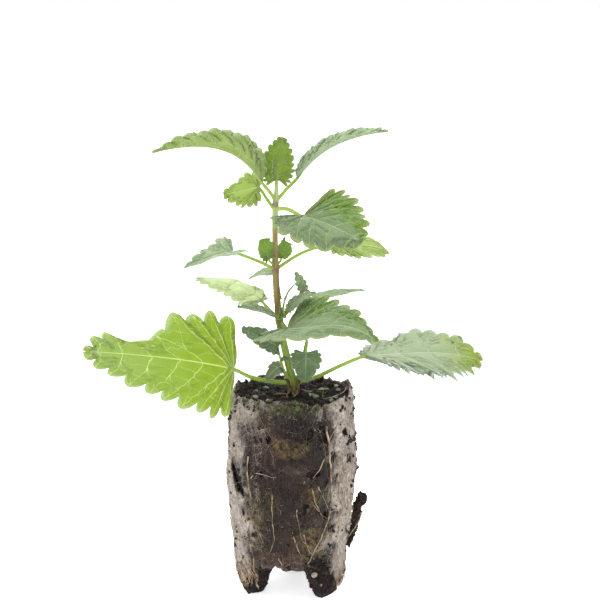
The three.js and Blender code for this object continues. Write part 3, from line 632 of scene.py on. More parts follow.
def threadTree(name, material):
    # Turns wandering lines into round threads that thin towards their ends
    t = Growth(name, {"Sides": 5, "Wander": 0.25, "Bends": 0.4, "Taper": 0.6})
    lines = t.node("GeometryNodeMeshToCurve", {"Mesh": t.given("Geometry")}).outputs[0]
    moved = t.wander(lines, t.times(t.given("Bends"), 1000.0), t.times(t.given("Wander"), 2 * mm))
    along = t.node("GeometryNodeSplineParameter").outputs[0]
    left = t.math("SUBTRACT", 1.0, t.times(along, t.given("Taper")))
    ring = t.node("GeometryNodeCurvePrimitiveCircle", {"Resolution": t.given("Sides"), "Radius": mm})
    tubes = t.node("GeometryNodeCurveToMesh", {"Curve": moved, "Profile Curve": ring.outputs[0],
                                               "Scale": t.times(t.attribute("thick"), left),
                                               "Fill Caps": True}).outputs[0]
    return t.finish(tubes, material)


def growThreads(growth, name, paths, radii, values, shades=None):
    # Threads along lines of points; shades are 0 for clean and 1 for stained, a value a point
    points = np.concatenate(paths)
    edges, count = [], 0
    for path in paths:
        edges.extend((count + k, count + k + 1) for k in range(len(path) - 1))
        count += len(path)
    mesh = bpy.data.meshes.new(name + "Lines")
    mesh.from_pydata((points * mm).tolist(), edges, [])
    setFloats(mesh, {"thick": np.repeat(radii, [len(path) for path in paths]),
                     "shade": np.zeros(len(points)) if shades is None else shades})
    lines = bpy.data.objects.new(name + "Lines", mesh)
    threads = grow(growth, lines, name, values)
    bpy.data.objects.remove(lines)
    return threads


# Plug: the same lines as the frame's solids

plug = {
    "rimRadius": 20.0, "bellyRadius": 21.1, "footRadius": 17.6, "footShift": 1.2, "bellyHeight": 42.0,
    "bulge": 1.0, "rimHeight": 67.8, "soilHeight": 66.0, "hemHeight": 11.5, "lobeDepth": 8.0,
    "sheet": 0.45, "soilGap": 0.75,
    "lobes": [{"angle": -38, "reach": 14.6, "spread": 10.2, "fringe": (0.1, 1.0)},
              {"angle": 201, "reach": 13.8, "spread": 8.4, "fringe": (-0.85, 0.85)},
              {"angle": 82, "reach": 13.6, "spread": 8.0, "fringe": (-0.85, 0.85)}],
    # Where the hem hangs lower: angle, half width in mm, drop
    "hemDrops": [(-20, 10.5, 9.0), (196, 10.0, 8.5), (82, 9.0, 7.0)],
    # Radii that turn angles into lengths: for patches and noise, on the sheet, and along the hem
    "round": 20.0, "sheetRound": 20.5, "hemRound": 16.0,
    # The bulge at the foot: its angle and how high it reaches
    "bulgeAngle": -28, "bulgeHeight": 15,
}


def apart(a, b):
    return np.arctan2(np.sin(a - b), np.cos(a - b))


def sleeveRadius(angle, height):
    up = smooth((height - plug["bellyHeight"]) / (plug["rimHeight"] - plug["bellyHeight"]))
    down = smooth((plug["bellyHeight"] - height) / plug["bellyHeight"])
    plain = (plug["bellyRadius"] + (plug["rimRadius"] - plug["bellyRadius"]) * up
             + (plug["footRadius"] - plug["bellyRadius"]) * down)
    lumps = 0.3 * np.sin(3 * angle + 0.06 * height) + 0.22 * np.sin(5 * angle - 0.11 * height + 1)
    lean = plug["footShift"] * (1 - height / plug["rimHeight"]) * np.cos(angle)
    facing = np.cos(apart(angle, math.radians(plug["bulgeAngle"]))).clip(0) ** 6
    bulge = plug["bulge"] * facing * smooth((plug["bulgeHeight"] - height) / 11)
    return plain + lumps - lean + bulge


def rimLine(angle):
    return plug["rimHeight"] + 0.7 * np.sin(3 * angle + 0.8) + 0.5 * np.sin(7 * angle)


def hemLine(angle):
    hem = plug["hemHeight"] + 0.7 * np.sin(6 * angle + 1)
    for turn, half, drop in plug["hemDrops"]:
        away = np.abs(apart(angle, math.radians(turn))) * plug["hemRound"]
        hem = hem - drop * (1 - smooth(away / half))
    return hem


def soilUnderside(x, y):
    height = np.full(np.shape(x), plug["hemHeight"] + 1.0)
    for lobe in plug["lobes"]:
        # The side of a lobe that faces out drops straight down
        turn = math.radians(lobe["angle"])
        outward = x * math.cos(turn) + y * math.sin(turn) - lobe["reach"]
        outward = np.where(outward > 0, 0.4 * outward, outward)
        away = np.hypot(outward, 0.9 * (y * math.cos(turn) - x * math.sin(turn)))
        height = height - (plug["hemHeight"] + plug["lobeDepth"]) * (1 - smooth(away / lobe["spread"]))
    return np.maximum(0, height)


def soilSurface(x, y):
    return plug["soilHeight"] + 0.35 * np.sin(0.9 * x + 1) * np.cos(0.8 * y) + 0.3 * np.sin(1.7 * y - 0.6 * x)


def patchMask(angle, height, patches):
    # Soft spots on the sleeve: angle, height, half width and half height in mm, strength
    mask = np.zeros(np.shape(angle))
    for turn, level, wide, tall, strength in patches:
        across = apart(angle, math.radians(turn)) * plug["round"] / wide
        spot = strength * np.exp(-(across ** 2 + ((height - level) / tall) ** 2))
        mask = np.maximum(mask, spot)
    return mask


sleeveSizes = {
    "columns": 300, "rows": 150, "crumple": 0.5, "fold": 0.5, "rootRidge": 0.55, "pile": 0.17,
    # The sunk panel: its left and right angles and its top, then its depth
    "panel": (-116, -70, 47), "panelDepth": 0.55,
    # angle, height, half width, half height and lean of the torn holes
    "tears": [(-65, 10.0, 5.6, 5.8, 15), (214, 41, 1.5, 6.2, 30), (-75, 57.5, 1.3, 2.6, -14),
              (-62, 58, 1.8, 3.4, 16), (55, 48, 1.8, 4, 15), (145, 26, 1.5, 3.2, -20),
              (-34, 56.5, 1.3, 1.6, 10), (-112, 56, 1.1, 1.4, 30), (-58, 30, 0.9, 1.5, 20),
              (-118, 44.5, 0.8, 1.4, 10), (-50, 49, 0.8, 1.8, 0), (-140, 30, 0.8, 1.4, -20),
              (20, 52, 1, 1.6, 0), (100, 34, 1, 1.8, 20), (172, 55, 0.9, 1.5, 0), (-72, 45, 2.2, 1.6, 10),
              (-80, 33, 1.6, 2, -10)],
    # Where folds stand out, where the sheet is worn into ragged holes, and its stains: angle, height,
    # half width, half height, strength
    "folds": [(-35, 30, 7, 30, 1.0), (-140, 35, 5, 26, 0.7), (10, 40, 7, 30, 0.8), (90, 30, 9, 25, 0.6),
              (170, 40, 8, 30, 0.7)],
    "worn": [(-68, 44, 6, 8, 1.0), (-62, 58, 4, 6, 0.9), (-50, 13, 7, 5, 1.0), (-100, 38, 6, 9, 0.6),
             (-143, 38, 4, 10, 0.7), (70, 38, 9, 10, 0.8), (160, 42, 8, 12, 0.6), (10, 35, 6, 12, 0.5)],
    "grime": [(-128, 44, 4.5, 18, 0.7), (-112, 40, 5, 22, 0.9), (-92, 36, 9.5, 24, 1.3),
              (-90, 60, 9, 10, 1.1), (-108, 22, 7, 16, 0.9), (-70, 48, 5, 12, 1.2),
              (-66, 30, 5, 14, 0.95), (-60, 12, 8, 6, 1.0), (-122, 30, 3, 9, 0.6), (-128, 14, 5, 6, 0.7),
              (-57, 58, 3.4, 7, 1.0), (-50, 43, 2.4, 8, 0.35), (-112, 62, 5, 5, 0.7), (-148, 42, 2.4, 8, 0.6),
              (-20, 40, 3, 12, 0.1), (60, 40, 14, 20, 0.9), (100, 24, 9, 12, 0.8), (165, 45, 7, 14, 0.6),
              (20, 25, 7, 12, 0.6), (-138, 57, 5, 4, 0.4), (-62, 44, 4, 5, 1.4), (-80, 34, 4, 6, 1.4)],
    "algae": [(-92, 67, 12, 2.6, 1.2), (-70, 66.5, 8, 2.0, 1.0), (-108, 66, 5, 3, 1.1), (-150, 65, 5, 6, 1.0),
              (-60, 36, 2.2, 2.5, 0.7), (-56, 47, 1.2, 2, 0.9), (30, 65.5, 12, 3, 0.8), (110, 66, 12, 3, 0.9),
              (190, 60, 6, 3, 0.5), (-76, 25, 1.6, 1.6, 1.0), (-62, 16, 5, 4, 0.6), (-148, 50, 2, 4, 0.5)],
    "ochre": [(-102, 54.5, 3.2, 1.8, 1.2), (-84, 53.5, 2.8, 1.6, 1.1), (-93, 51.5, 4, 1.2, 1.0),
              (-126, 28, 3.2, 8, 1.1), (-68, 20, 5, 7, 1.2), (-72, 37, 2.4, 4, 0.9), (-150, 50, 3, 4, 0.5),
              (-40, 60, 3, 4, 0.3), (-130, 38, 2.6, 4, 0.6), (-108, 36, 2, 4, 0.6), (60, 30, 5, 6, 0.7),
              (150, 50, 4, 5, 0.5)],
    "blush": [(-98, 14, 11, 4, 0.8), (-85, 22, 6, 4, 0.35), (-118, 10, 6, 4, 0.7), (-118, 56, 5, 6, 0.6),
              (80, 18, 12, 6, 0.7), (-88, 46, 5, 4, 0.35)],
}


def sleeveSkin(angle, height):
    # Outer radius of the crumpled sheet, and how much of each place is in its sunk panel
    flat = polar(angle, plug["round"], height)
    crumple = noiseAt(flat, 8, 1, 3) * sleeveSizes["crumple"]
    foldHere = 0.25 + patchMask(angle, height, sleeveSizes["folds"])
    folds = noiseAt(flat * (1, 1, 0.13), 2.2, 3, 2) * sleeveSizes["fold"] * foldHere
    ridge = np.exp(-(noiseAt(flat * (1, 1, 0.4), 5.5, 19, 1) / 0.055) ** 2) * sleeveSizes["rootRidge"]
    pile = noiseAt(flat, 1.1, 7, 2) * sleeveSizes["pile"]
    # A sunk panel low at the front, where the paper laps
    wander = 0.9 * np.sin(0.35 * height) + 0.5 * np.sin(0.9 * height + 1)
    leftAngle, rightAngle, top = sleeveSizes["panel"]
    left = (apart(angle, math.radians(leftAngle)) * plug["round"] + wander) / 1.6
    right = (apart(math.radians(rightAngle), angle) * plug["round"] + wander) / 3
    panel = smooth(left) * smooth(right) * smooth((top + 0.8 * np.sin(9 * angle) - height) / 1.5)
    skin = sleeveRadius(angle, height) + crumple + folds + ridge + pile
    return skin - sleeveSizes["panelDepth"] * panel, panel


def openCorners(inHole):
    # Cells that touch at a corner alone are opened too
    for _ in range(4):
        lower, upper = inHole[:-1], inHole[1:]
        nextLower, nextUpper = np.roll(lower, -1, axis=1), np.roll(upper, -1, axis=1)
        corner = (lower == nextUpper) & (upper == nextLower) & (lower != upper)
        inHole[:-1] |= corner | np.roll(corner, 1, axis=1)
        inHole[1:] |= corner | np.roll(corner, 1, axis=1)


def holeDepth(sizes, angle, height, grid):
    # Above zero inside a tear or a worn hole
    hole = np.full(angle.shape, -9.0)
    edgeNoise = noiseAt(grid, 1.0, 13, 2) * 0.6
    for turn, level, wide, tall, lean in sizes["tears"]:
        across = apart(angle, math.radians(turn)) * plug["sheetRound"]
        up = height - level
        tilt = math.radians(lean)
        u = across * math.cos(tilt) + up * math.sin(tilt)
        v = up * math.cos(tilt) - across * math.sin(tilt)
        hole = np.maximum(hole, 1.0 + edgeNoise - np.hypot(u / wide, v / tall))
    rag = noiseAt(grid * (1, 1, 0.8), 2.6, 29, 3)
    worn = patchMask(angle, height, sizes["worn"])
    return np.maximum(hole, (rag - 0.62) * 2 * worn - 0.3 + 0.32 * worn)


def makeSleeve(sizes):
    columns, rows = sizes["columns"], sizes["rows"]
    angle = np.linspace(-math.pi, math.pi, columns, endpoint=False)
    a, p = np.meshgrid(angle, np.linspace(0, 1, rows))
    edge = polar(angle, plug["round"], 0 * angle)
    low = hemLine(a) + noiseAt(edge, 2.6, 5, 3) * 1.3
    high = rimLine(a) + noiseAt(edge, 1.8, 9, 3) * 1.1
    height = low + (high - low) * p
    radius, panel = sleeveSkin(a, height)
    # The rim curls in a little and the hem turns under
    radius = radius - 0.8 * smooth((p - 0.97) / 0.03) - 0.7 * smooth((0.03 - p) / 0.03)
    grid = polar(a, radius, height)
    hole = holeDepth(sizes, a, height, grid)
    faces = gridFaces(np.arange(a.size).reshape(a.shape), closed=True)
    inHole = (hole.ravel()[faces].mean(axis=1) > 0).reshape(rows - 1, -1)
    openCorners(inHole)
    faces = faces[~inHole.ravel()]
    frayed = smooth(hole / 0.5 + 1)
    masks = {key: patchMask(a, height, sizes[key]) for key in stains}
    clustered = 2.2 * smooth((noiseAt(grid, 3.4, 61, 3) - 0.12) / 0.5)
    right, left = (np.exp(-(apart(a, math.radians(turn)) / 0.4) ** 2) for turn in (-8, 180))
    sideways = right + 0.5 * left
    floats = {
        **masks, "grime": np.clip(masks["grime"] + 0.2 * panel + 0.5 * frayed, 0, 1.2),
        "hairs": (0.3 * np.clip(1 - masks["grime"], 0.03, 1) + 1.1 * smooth((p - 0.96) / 0.04)
                  + 1.5 * smooth((0.04 - p) / 0.04) + 1.0 * frayed),
        "crumbs": clustered * (0.12 + 0.9 * frayed + 0.35 * smooth((0.06 - p) / 0.05) + 0.3 * masks["grime"]
                               + 1.6 * sideways * smooth((height - 40) / 8)),
        "moss": masks["algae"] * smooth((height - 64) / 3) * clustered,
    }
    used = np.unique(faces)
    renumber = np.full(a.size, -1)
    renumber[used] = np.arange(len(used))
    sheet = addPiece("sleeveSheet", grid.reshape(-1, 3)[used], renumber[faces], sleeveLook,
                     floats={k: v.ravel()[used] for k, v in floats.items()},
                     uv=np.stack([a.ravel() * plug["sheetRound"], height.ravel()], -1)[used])
    solid = sheet.modifiers.new("wall", "SOLIDIFY")
    solid.thickness = plug["sheet"] * mm
    solid.offset = -1
    return addObject("paperSleeve", keptMesh(sheet)), sheet


soilSizes = {"sides": 220, "wallRings": 90, "discRings": 46, "lump": 0.5, "clod": 0.75, "middle": 36.0}


def makeSoil(sizes):
    sides, discRings = sizes["sides"], sizes["discRings"]
    angle = np.linspace(0, 2 * math.pi, sides, endpoint=False)
    rings, crumbs, rough = [], [], []

    def wallRadius(height):
        return sleeveRadius(angle, height) - plug["sheet"] - plug["soilGap"]

    def addRing(ring, crumbShare, roughness):
        rings.append(ring)
        crumbs.append(np.broadcast_to(crumbShare, sides))
        rough.append(np.broadcast_to(roughness, sides))

    # The underside with its lobes, the wall behind the sleeve, and the top
    for part in np.linspace(0.02, 0.985, discRings):
        ring = polar(angle, part * wallRadius(4), 0 * angle)
        ring[:, 2] = soilUnderside(ring[:, 0], ring[:, 1])
        addRing(ring, 0.5 * smooth((ring[:, 2] - 0.4) / 1.5), 1.0)
    foot = polar(angle, wallRadius(4), 0 * angle)
    low = soilUnderside(foot[:, 0], foot[:, 1]) + 0.8
    for part in np.linspace(0, 1, sizes["wallRings"]):
        height = mix(low, plug["soilHeight"] - 0.8, part)
        bare = height < hemLine(angle) + 1.5
        addRing(polar(angle, wallRadius(height), height),
                np.where(bare, smooth((height - 1.2) / 1.5), 0.03), np.where(bare, 1.0, 0.45))
    for part in np.linspace(0.975, 0.02, discRings):
        ring = polar(angle, part * wallRadius(66), 0 * angle)
        ring[:, 2] = soilSurface(ring[:, 0], ring[:, 1])
        addRing(ring, 1.0, 1.15)
    grid = np.concatenate(rings)
    ids = np.arange(len(grid)).reshape(len(rings), sides)
    under, top = ids[:discRings].ravel(), ids[-discRings:].ravel()
    lumps = noiseAt(grid, 4.5, 21, 3) * sizes["clod"] + noiseAt(grid, 1.3, 23, 2) * sizes["lump"]
    outward = (grid - (0, 0, sizes["middle"])) * (1, 1, 0.25)
    outward[top] = (0, 0, 1)
    outward[under] = (0, 0, -1)
    calm = np.concatenate(rough)
    calm[under] = smooth(grid[under, 2] / 2.5)
    grid = grid + unit(outward) * (lumps * calm)[:, None]
    grid[:, 2] = np.maximum(grid[:, 2], 0)
    onTop = np.zeros(len(grid))
    onTop[top] = 1
    fromMiddle = np.hypot(grid[:, 0], grid[:, 1])
    moss = onTop * smooth((noiseAt(grid, 5, 51, 2) - 0.02) / 0.35) * smooth((fromMiddle - 7) / 8)
    return addPiece("soilPlug", grid, ballFaces(ids), soilLook,
                    floats={"crumbs": np.concatenate(crumbs), "moss": moss})


sleeve, sleeveSheet = makeSleeve(sleeveSizes)
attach(sleeve, body)
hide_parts("paper_sleeve")
soil = makeSoil(soilSizes)
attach(soil, body)
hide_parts("soil_plug")
print("stage: plug")

crumbSizes = {"Density": 3.4, "Size": 0.8, "Smallest": 0.25, "Seed": 4}
crumbs = grow(crumbTree("soilCrumbs", soilLook, "crumbs"), soil, "soilCrumbs", crumbSizes)
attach(crumbs, body)

strayCrumbs = grow(crumbTree("strayCrumbs", soilLook, "crumbs"), sleeveSheet, "strayCrumbs",
                   {"Density": 1.2, "Size": 0.85, "Smallest": 0.25, "Seed": 14})
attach(strayCrumbs, body)

mossSizes = {"Size": 0.55, "Smallest": 0.35, "Seed": 6}
for source, name, density in ((soil, "soilMoss", 2.2), (sleeveSheet, "rimMoss", 5.0)):
    tufts = grow(crumbTree(name, mossLook, "moss"), source, name, {**mossSizes, "Density": density})
    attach(tufts, body)

fuzzSizes = {"Density": 1.5, "Length": 1.4, "Radius": 0.03, "Lean": 1.45, "Seed": 2}
fuzz = grow(hairTree("sleeveFuzz", fuzzLook), sleeveSheet, "sleeveFuzz", fuzzSizes)
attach(fuzz, body)
bpy.data.objects.remove(sleeveSheet)
print("stage: crumbs, moss and fibres")


# Clump of soil that has grown out of the sleeve

clumpSizes = {
    # angle, height, half width and stand-off of the middle line
    "line": [(0, 13.5, 0.7, 0.2), (3, 16.6, 1.1, 0.4), (6, 20, 1.4, 0.6), (8, 23.5, 1.5, 1.0),
             (10, 26.4, 1.4, 1.5), (11, 28.4, 1.9, 2.2), (11.5, 30.2, 0.8, 2.3)],
    "lump": 0.55, "sides": 28, "steps": 60,
    # angle, height and stand-off of the root that runs round it
    "root": [(6, 14.5, 0.3), (-2, 18, 1.4), (-4, 21.5, 2.8), (2, 24.5, 4.2), (8, 27, 4.9), (10, 29.5, 4.6)],
    "rootRadius": 0.2,
}


def onSleeve(angle, height, standOff):
    turn = math.radians(angle)
    return polar(turn, float(sleeveRadius(turn, height)) + standOff, height)


def makeClump(sizes):
    points = [onSleeve(angle, height, half + away) for angle, height, half, away in sizes["line"]]
    grid, faces = tubeMesh(points, [half for _, _, half, _ in sizes["line"]], sizes["sides"], sizes["steps"])
    centre = np.mean(points, axis=0)
    grid = grid + unit(grid - centre) * (noiseAt(grid, 2.2, 31, 3) * sizes["lump"])[:, None]
    return addPiece("soilClump", grid, faces, soilLook, floats={"crumbs": np.ones(len(grid))})


clump = makeClump(clumpSizes)
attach(clump, body)
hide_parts("soil_clump")
clumpCrumbs = grow(crumbTree("clumpCrumbs", soilLook, "crumbs"), clump, "clumpCrumbs",
                   {"Density": 3.5, "Size": 0.55, "Smallest": 0.35, "Seed": 8})
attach(clumpCrumbs, body)


# Small things on the growing mix

def addBlobs(name, places, look, lump):
    # Lumpy round bodies in one piece: centres and half sizes in mm
    sides, rings = 20, 12
    turn = np.linspace(0, 2 * math.pi, sides, endpoint=False)
    ball = np.concatenate([polar(turn, math.cos(slope), np.full(sides, math.sin(slope)))
                           for slope in np.linspace(-1.42, 1.42, rings)])
    points, faces = [], []
    for number, (centre, half) in enumerate(places):
        shape = 1 + lump * noiseAt(ball + centre, 0.7, 71, 2)
        points.append(ball * shape[:, None] * half + centre)
        faces += ballFaces(number * len(ball) + np.arange(len(ball)).reshape(rings, sides))
    return addPiece(name, np.concatenate(points), faces, look)


def onMix(x, y, lift=0.5):
    return (x, y, float(soilSurface(x, y)) + lift)


# Name, look, lumpiness, and the centre and half sizes of each body
smallThings = [
    ("mossCushions", liverwortLook, 0.45, [
        (onMix(6.3, -3), (1.6, 1.3, 0.8)), (onMix(7.8, -4.4), (0.9, 0.8, 0.6)),
        (onMix(13.4, -7), (1.3, 1.2, 0.9)), (onMix(12.4, -10), (0.8, 0.8, 0.5)),
        (onMix(-7.5, -10), (1.2, 0.9, 0.6)), (onMix(-4.5, -13), (1.4, 0.9, 0.7)),
        (onMix(-12, -7), (1.0, 0.9, 0.6)), (onMix(-1.5, -14.5), (1.2, 0.9, 0.7)),
        (onMix(3.2, -15), (1.5, 0.8, 0.6)), (onMix(15, 3), (0.9, 0.8, 0.6)),
        (onMix(-9, 6), (1.0, 0.9, 0.5)), (onMix(4, 12), (1.2, 1.0, 0.6))]),
    ("seedling", sproutLook, 0.1, [((9.3, -7.2, 69.6), (1.1, 0.7, 0.22)),
                                   ((10.9, -7.4, 69.9), (0.9, 0.6, 0.2))]),
    ("palePebbles", stoneLook, 0.15, [
        (tuple(polar(math.radians(-65), 16.8, 9.0)), (1.0, 0.8, 0.9)), (onMix(14.6, 8), (0.8, 0.7, 0.6)),
        (onMix(-12, 3), (0.6, 0.5, 0.4)), (tuple(polar(math.radians(-56), 16.6, 5.0)), (0.5, 0.4, 0.5))]),
    ("oldStub", oliveLook, 0.2, [((-1.5, -0.9, 69.6), (0.75, 0.75, 3.1)),
                                 ((-0.9, -1.5, 67.6), (0.7, 0.6, 1.2))]),
    ("budScales", scaleLook, 0.2, [((2.2, -0.7, 71.2), (0.5, 0.5, 1.7)),
                                   ((1.8, -1.2, 68.4), (0.6, 0.5, 1.2))]),
    ("leafScraps", scrapLook, 0.5, [
        (onMix(-4, -3.6, 0.7), (1.9, 0.9, 0.28)), (onMix(-2.6, -5.4, 0.6), (1.2, 0.7, 0.25)),
        (onMix(5, 1.4, 0.7), (1.6, 0.7, 0.25)), (onMix(10, 3.8, 0.6), (1.1, 0.8, 0.22)),
        (onMix(-10, -1, 0.6), (1.3, 0.6, 0.25))]),
]
for name, look, lump, places in smallThings:
    thing = addBlobs(name, places, look, lump)
    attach(thing, body)


# Stem

stemSizes = {
    # x, height and radius of the middle line
    "line": [(0.9, 57.5, 1.3), (0.65, 66.5, 1.35), (0.1, 71, 1.25), (-0.9, 74.5, 1.2), (-2.4, 81, 1.2),
             (-3.2, 84.5, 1.15), (-4.3, 91, 1.15), (-4.9, 97, 1.05), (-5.5, 107.5, 1.05), (-5.6, 117.5, 0.9),
             (-5.5, 128, 0.95), (-5.2, 131, 0.8), (-5.1, 136, 0.65)],
    "square": 0.07, "groove": 0.02, "sides": 28, "steps": 220, "swelling": 0.16,
    # Heights of the dark rings at the upper pairs of leaves, and of the first pair
    "rings": (107.8, 129.2), "firstPair": 91,
    "low": (126, 150, 56), "olive": (134, 122, 62), "young": (158, 174, 116), "flush": (110, 72, 62),
    "ring": (110, 70, 74), "foot": (84, 60, 44), "through": (0.35, 0.5, 0.1), "throughShare": 0.12,
}


def stemMaterial(sizes):
    s = Shader("stemSkin")
    height = s.node("ShaderNodeSeparateXYZ", {0: s.place()}).outputs[2]
    streaks = s.noise(s.place((1000, 1000, 120)), 1.6, 3, 0.6)
    colour = s.colour(s.ramp(height, 84, 95), sizes["low"], sizes["olive"])
    colour = s.colour(s.ramp(height, 118, 129), colour, sizes["young"])
    flush = s.times(s.ramp(height, 88, 96), s.ramp(height, 126, 116), s.ramp(streaks, 0.46, 0.62), 0.6)
    rings = s.most(*[s.ramp(s.gap(height, ring), 1.5, 0.3) for ring in sizes["rings"]])
    foot = s.ramp(height, 74, 67)
    for key, share in (("flush", flush), ("ring", s.times(rings, 0.65)), ("foot", s.times(foot, 0.6))):
        colour = s.colour(share, colour, sizes[key])
    return s.finish(colour, s.bump(streaks, 0.12 * mm), sizes["through"], sizes["throughShare"],
                    Roughness=0.5, Specular_IOR_Level=0.4)


def stemAt(height):
    line = stemSizes["line"]
    return np.array([np.interp(height, [z for _, z, _ in line], [x for x, _, _ in line]), 0.0, height])


def makeStem(sizes):
    points = [(x, 0, z) for x, z, _ in sizes["line"]]
    heights = smoothLine(points, sizes["steps"])[:, 2]

    def section(turn, at):
        level = np.interp(at, np.linspace(0, 1, len(heights)), heights)
        knots = (sizes["firstPair"], *sizes["rings"])
        knot = sum(math.exp(-((level - ring) / 1.3) ** 2) for ring in knots)
        corner = sizes["square"] * np.cos(4 * turn)
        groove = sizes["groove"] * np.cos(8 * turn)
        return 0.97 + corner + groove + sizes["swelling"] * knot

    radii = [radius for _, _, radius in sizes["line"]]
    grid, faces = tubeMesh(points, radii, sizes["sides"], sizes["steps"], section)
    hairs = 0.6 + 1.6 * smooth((grid[:, 2] - 112) / 20)
    return addPiece("mainStem", grid, faces, stemMaterial(sizes), floats={"hairs": hairs})


stem = makeStem(stemSizes)
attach(stem, body)
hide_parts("stem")
print("stage: stem")


# Leaves: the frame's leaf, with finer lobes, veins and quilting

leafDefaults = {
    "teeth": 9, "tooth": 2.0, "lobe": 0.08, "hip": 1.05, "belly": 1.5, "fullness": 0.8, "stalk": 0.75,
    "twist": 0.0, "fold": 0.0, "unfold": 0.0, "via": [],
    # Where lobes start, how they shrink and crowd to the tip, their roundness, slant, lean and unevenness
    "bare": 0.12, "fade": 0.3, "crowd": 0.92, "point": 0.5, "skew": 1.15, "lean": 0.25, "uneven": 0.16,
    "dent": None, "rake": 0.95, "veinBow": 0.035, "thick": 0.32, "ripple": 0.35, "quilt": 0.36, "droop": 0.0,
    "endLobe": 1.0, "breadth": 1.0, "perTooth": 11, "leadRows": 12, "columns": 26,
    # What one half has of its own, the clear half whose face is painted a saturated green as painted light
    # coming through it from behind, and what its unevenness starts from
    "left": {}, "right": {}, "clear": None, "seed": 0,
}
smallDefaults = {**leafDefaults, "teeth": 5, "tooth": 0.9, "hip": 0.9, "stalk": 0.35, "perTooth": 8,
                 "leadRows": 6, "columns": 12, "ripple": 0.1, "quilt": 0.16, "thick": 0.28}


def outline(t, leaf):
    xs = (0, -2.4 * leaf["lobe"], 0.12, 0.8, 1)
    ys = (0, leaf["hip"], leaf["belly"], leaf["fullness"], 0)
    weights = [w * t ** i * (1 - t) ** (4 - i) for i, w in enumerate((1, 4, 6, 4, 1))]
    return sum(w * x for w, x in zip(weights, xs)), sum(w * y for w, y in zip(weights, ys))


def lobedEdge(leaf, phase):
    # Flat edge of one half; phase counts lobes from the base to the tip, and is below zero before the first
    span = leaf["teeth"] + leaf["endLobe"]
    jitter = 0.5 * leaf["uneven"] * np.sin(1.9 * phase + 2 * leaf["seed"])
    ahead = np.clip(phase + jitter * smooth(phase) * smooth(leaf["teeth"] - phase), 0, leaf["teeth"]) / span
    t = leaf["bare"] + (1 - leaf["bare"]) * ahead ** leaf["crowd"]
    t = np.where(phase < 0, mix(0.03, leaf["bare"], np.clip(phase + 1, 0, 1)), t)
    ratio = leaf["width"] / 2 / leaf["length"]
    x, y = outline(t, leaf)
    xa, ya = outline(t - 0.01, leaf)
    run = unit(np.stack([x - xa, (y - ya) * ratio], -1))
    number = np.floor(phase)
    part = np.clip(phase - number, 0, 1)
    shape = np.sin(math.pi * part ** leaf["skew"]).clip(0) ** leaf["point"]
    shape = np.where((phase < 0) | (phase >= leaf["teeth"]), 0, shape)
    vary = 1 + leaf["uneven"] * np.sin(2.4 * number + leaf["seed"])
    size = leaf["tooth"] / leaf["length"] * (1 - leaf["fade"] * smooth(phase / leaf["teeth"]))
    dented = 0
    if leaf["dent"]:
        start, end, depth = leaf["dent"]
        dented = depth * smooth((x - start) / 0.2) * smooth((end - x) / 0.14)
        size = size * (1 - 0.8 * dented / depth)
    push = size * (shape * vary - 0.4 * smooth(phase + 1))
    slide = size * leaf["lean"] * shape
    ex = x - run[:, 1] * push + run[:, 0] * slide
    ey = y + (run[:, 0] * push + run[:, 1] * slide) / ratio
    # The last lobe is a round end
    last = np.argmax(phase >= leaf["teeth"])
    turn = np.clip((phase - leaf["teeth"]) / leaf["endLobe"], 0, 1) * math.pi / 2
    after = phase >= leaf["teeth"]
    ex = np.where(after, mix(ex[last], 1.0, np.sin(turn) ** 0.8), ex)
    ey = np.where(after, ey[last] * np.cos(turn) ** 0.6 * (1 + 0.45 * np.sin(2 * turn)), ey)
    ey = ey * (1 - dented) * leaf["breadth"]
    return ex, np.maximum(0.012, ey), x - leaf["rake"] * y * ratio, shape


def leafPlace(leaf):
    # The midrib is a curve in the upright plane at the leaf's azimuth
    azimuth = math.radians(leaf["azimuth"])
    outward = np.array([math.cos(azimuth), math.sin(azimuth), 0])
    level = np.array([-math.sin(azimuth), math.cos(azimuth), 0])
    start = np.asarray(leaf["from"], dtype=float)

    def at(pair):
        return start + outward * pair[0] + np.array([0, 0, pair[1]])

    p = np.array([at(pair) for pair in leaf["midrib"]])

    def centre(x):
        s = np.clip(x, 0, 1)[..., None]
        c = (1 - s) ** 3 * p[0] + 3 * s * (1 - s) ** 2 * p[1] + 3 * s * s * (1 - s) * p[2] + s ** 3 * p[3]
        return c + np.minimum(x, 0)[..., None] * 3 * (p[1] - p[0])

    def axes(x):
        s = np.clip(x, 0, 1)[..., None]
        along = 3 * ((1 - s) ** 2 * (p[1] - p[0]) + 2 * s * (1 - s) * (p[2] - p[1]) + s * s * (p[3] - p[2]))
        up = np.cross(unit(along), level)
        roll = np.radians(leaf["roll"] + leaf["twist"] * s)
        return level * np.cos(roll) + up * np.sin(roll), up * np.cos(roll) - level * np.sin(roll)

    def surface(x, y):
        reach = (y * leaf["width"] / 2)[..., None]
        s = np.clip(x, 0, 1)
        more = np.where(y > 0, leaf["left"].get("foldMore", 0), leaf["right"].get("foldMore", 0))
        fold = np.radians(leaf["fold"] + leaf["unfold"] * s + more)[..., None]
        side, normal = axes(x)
        return centre(x) + side * (reach * np.cos(fold)) + normal * (np.abs(reach) * np.sin(fold))

    return at, centre, axes, surface


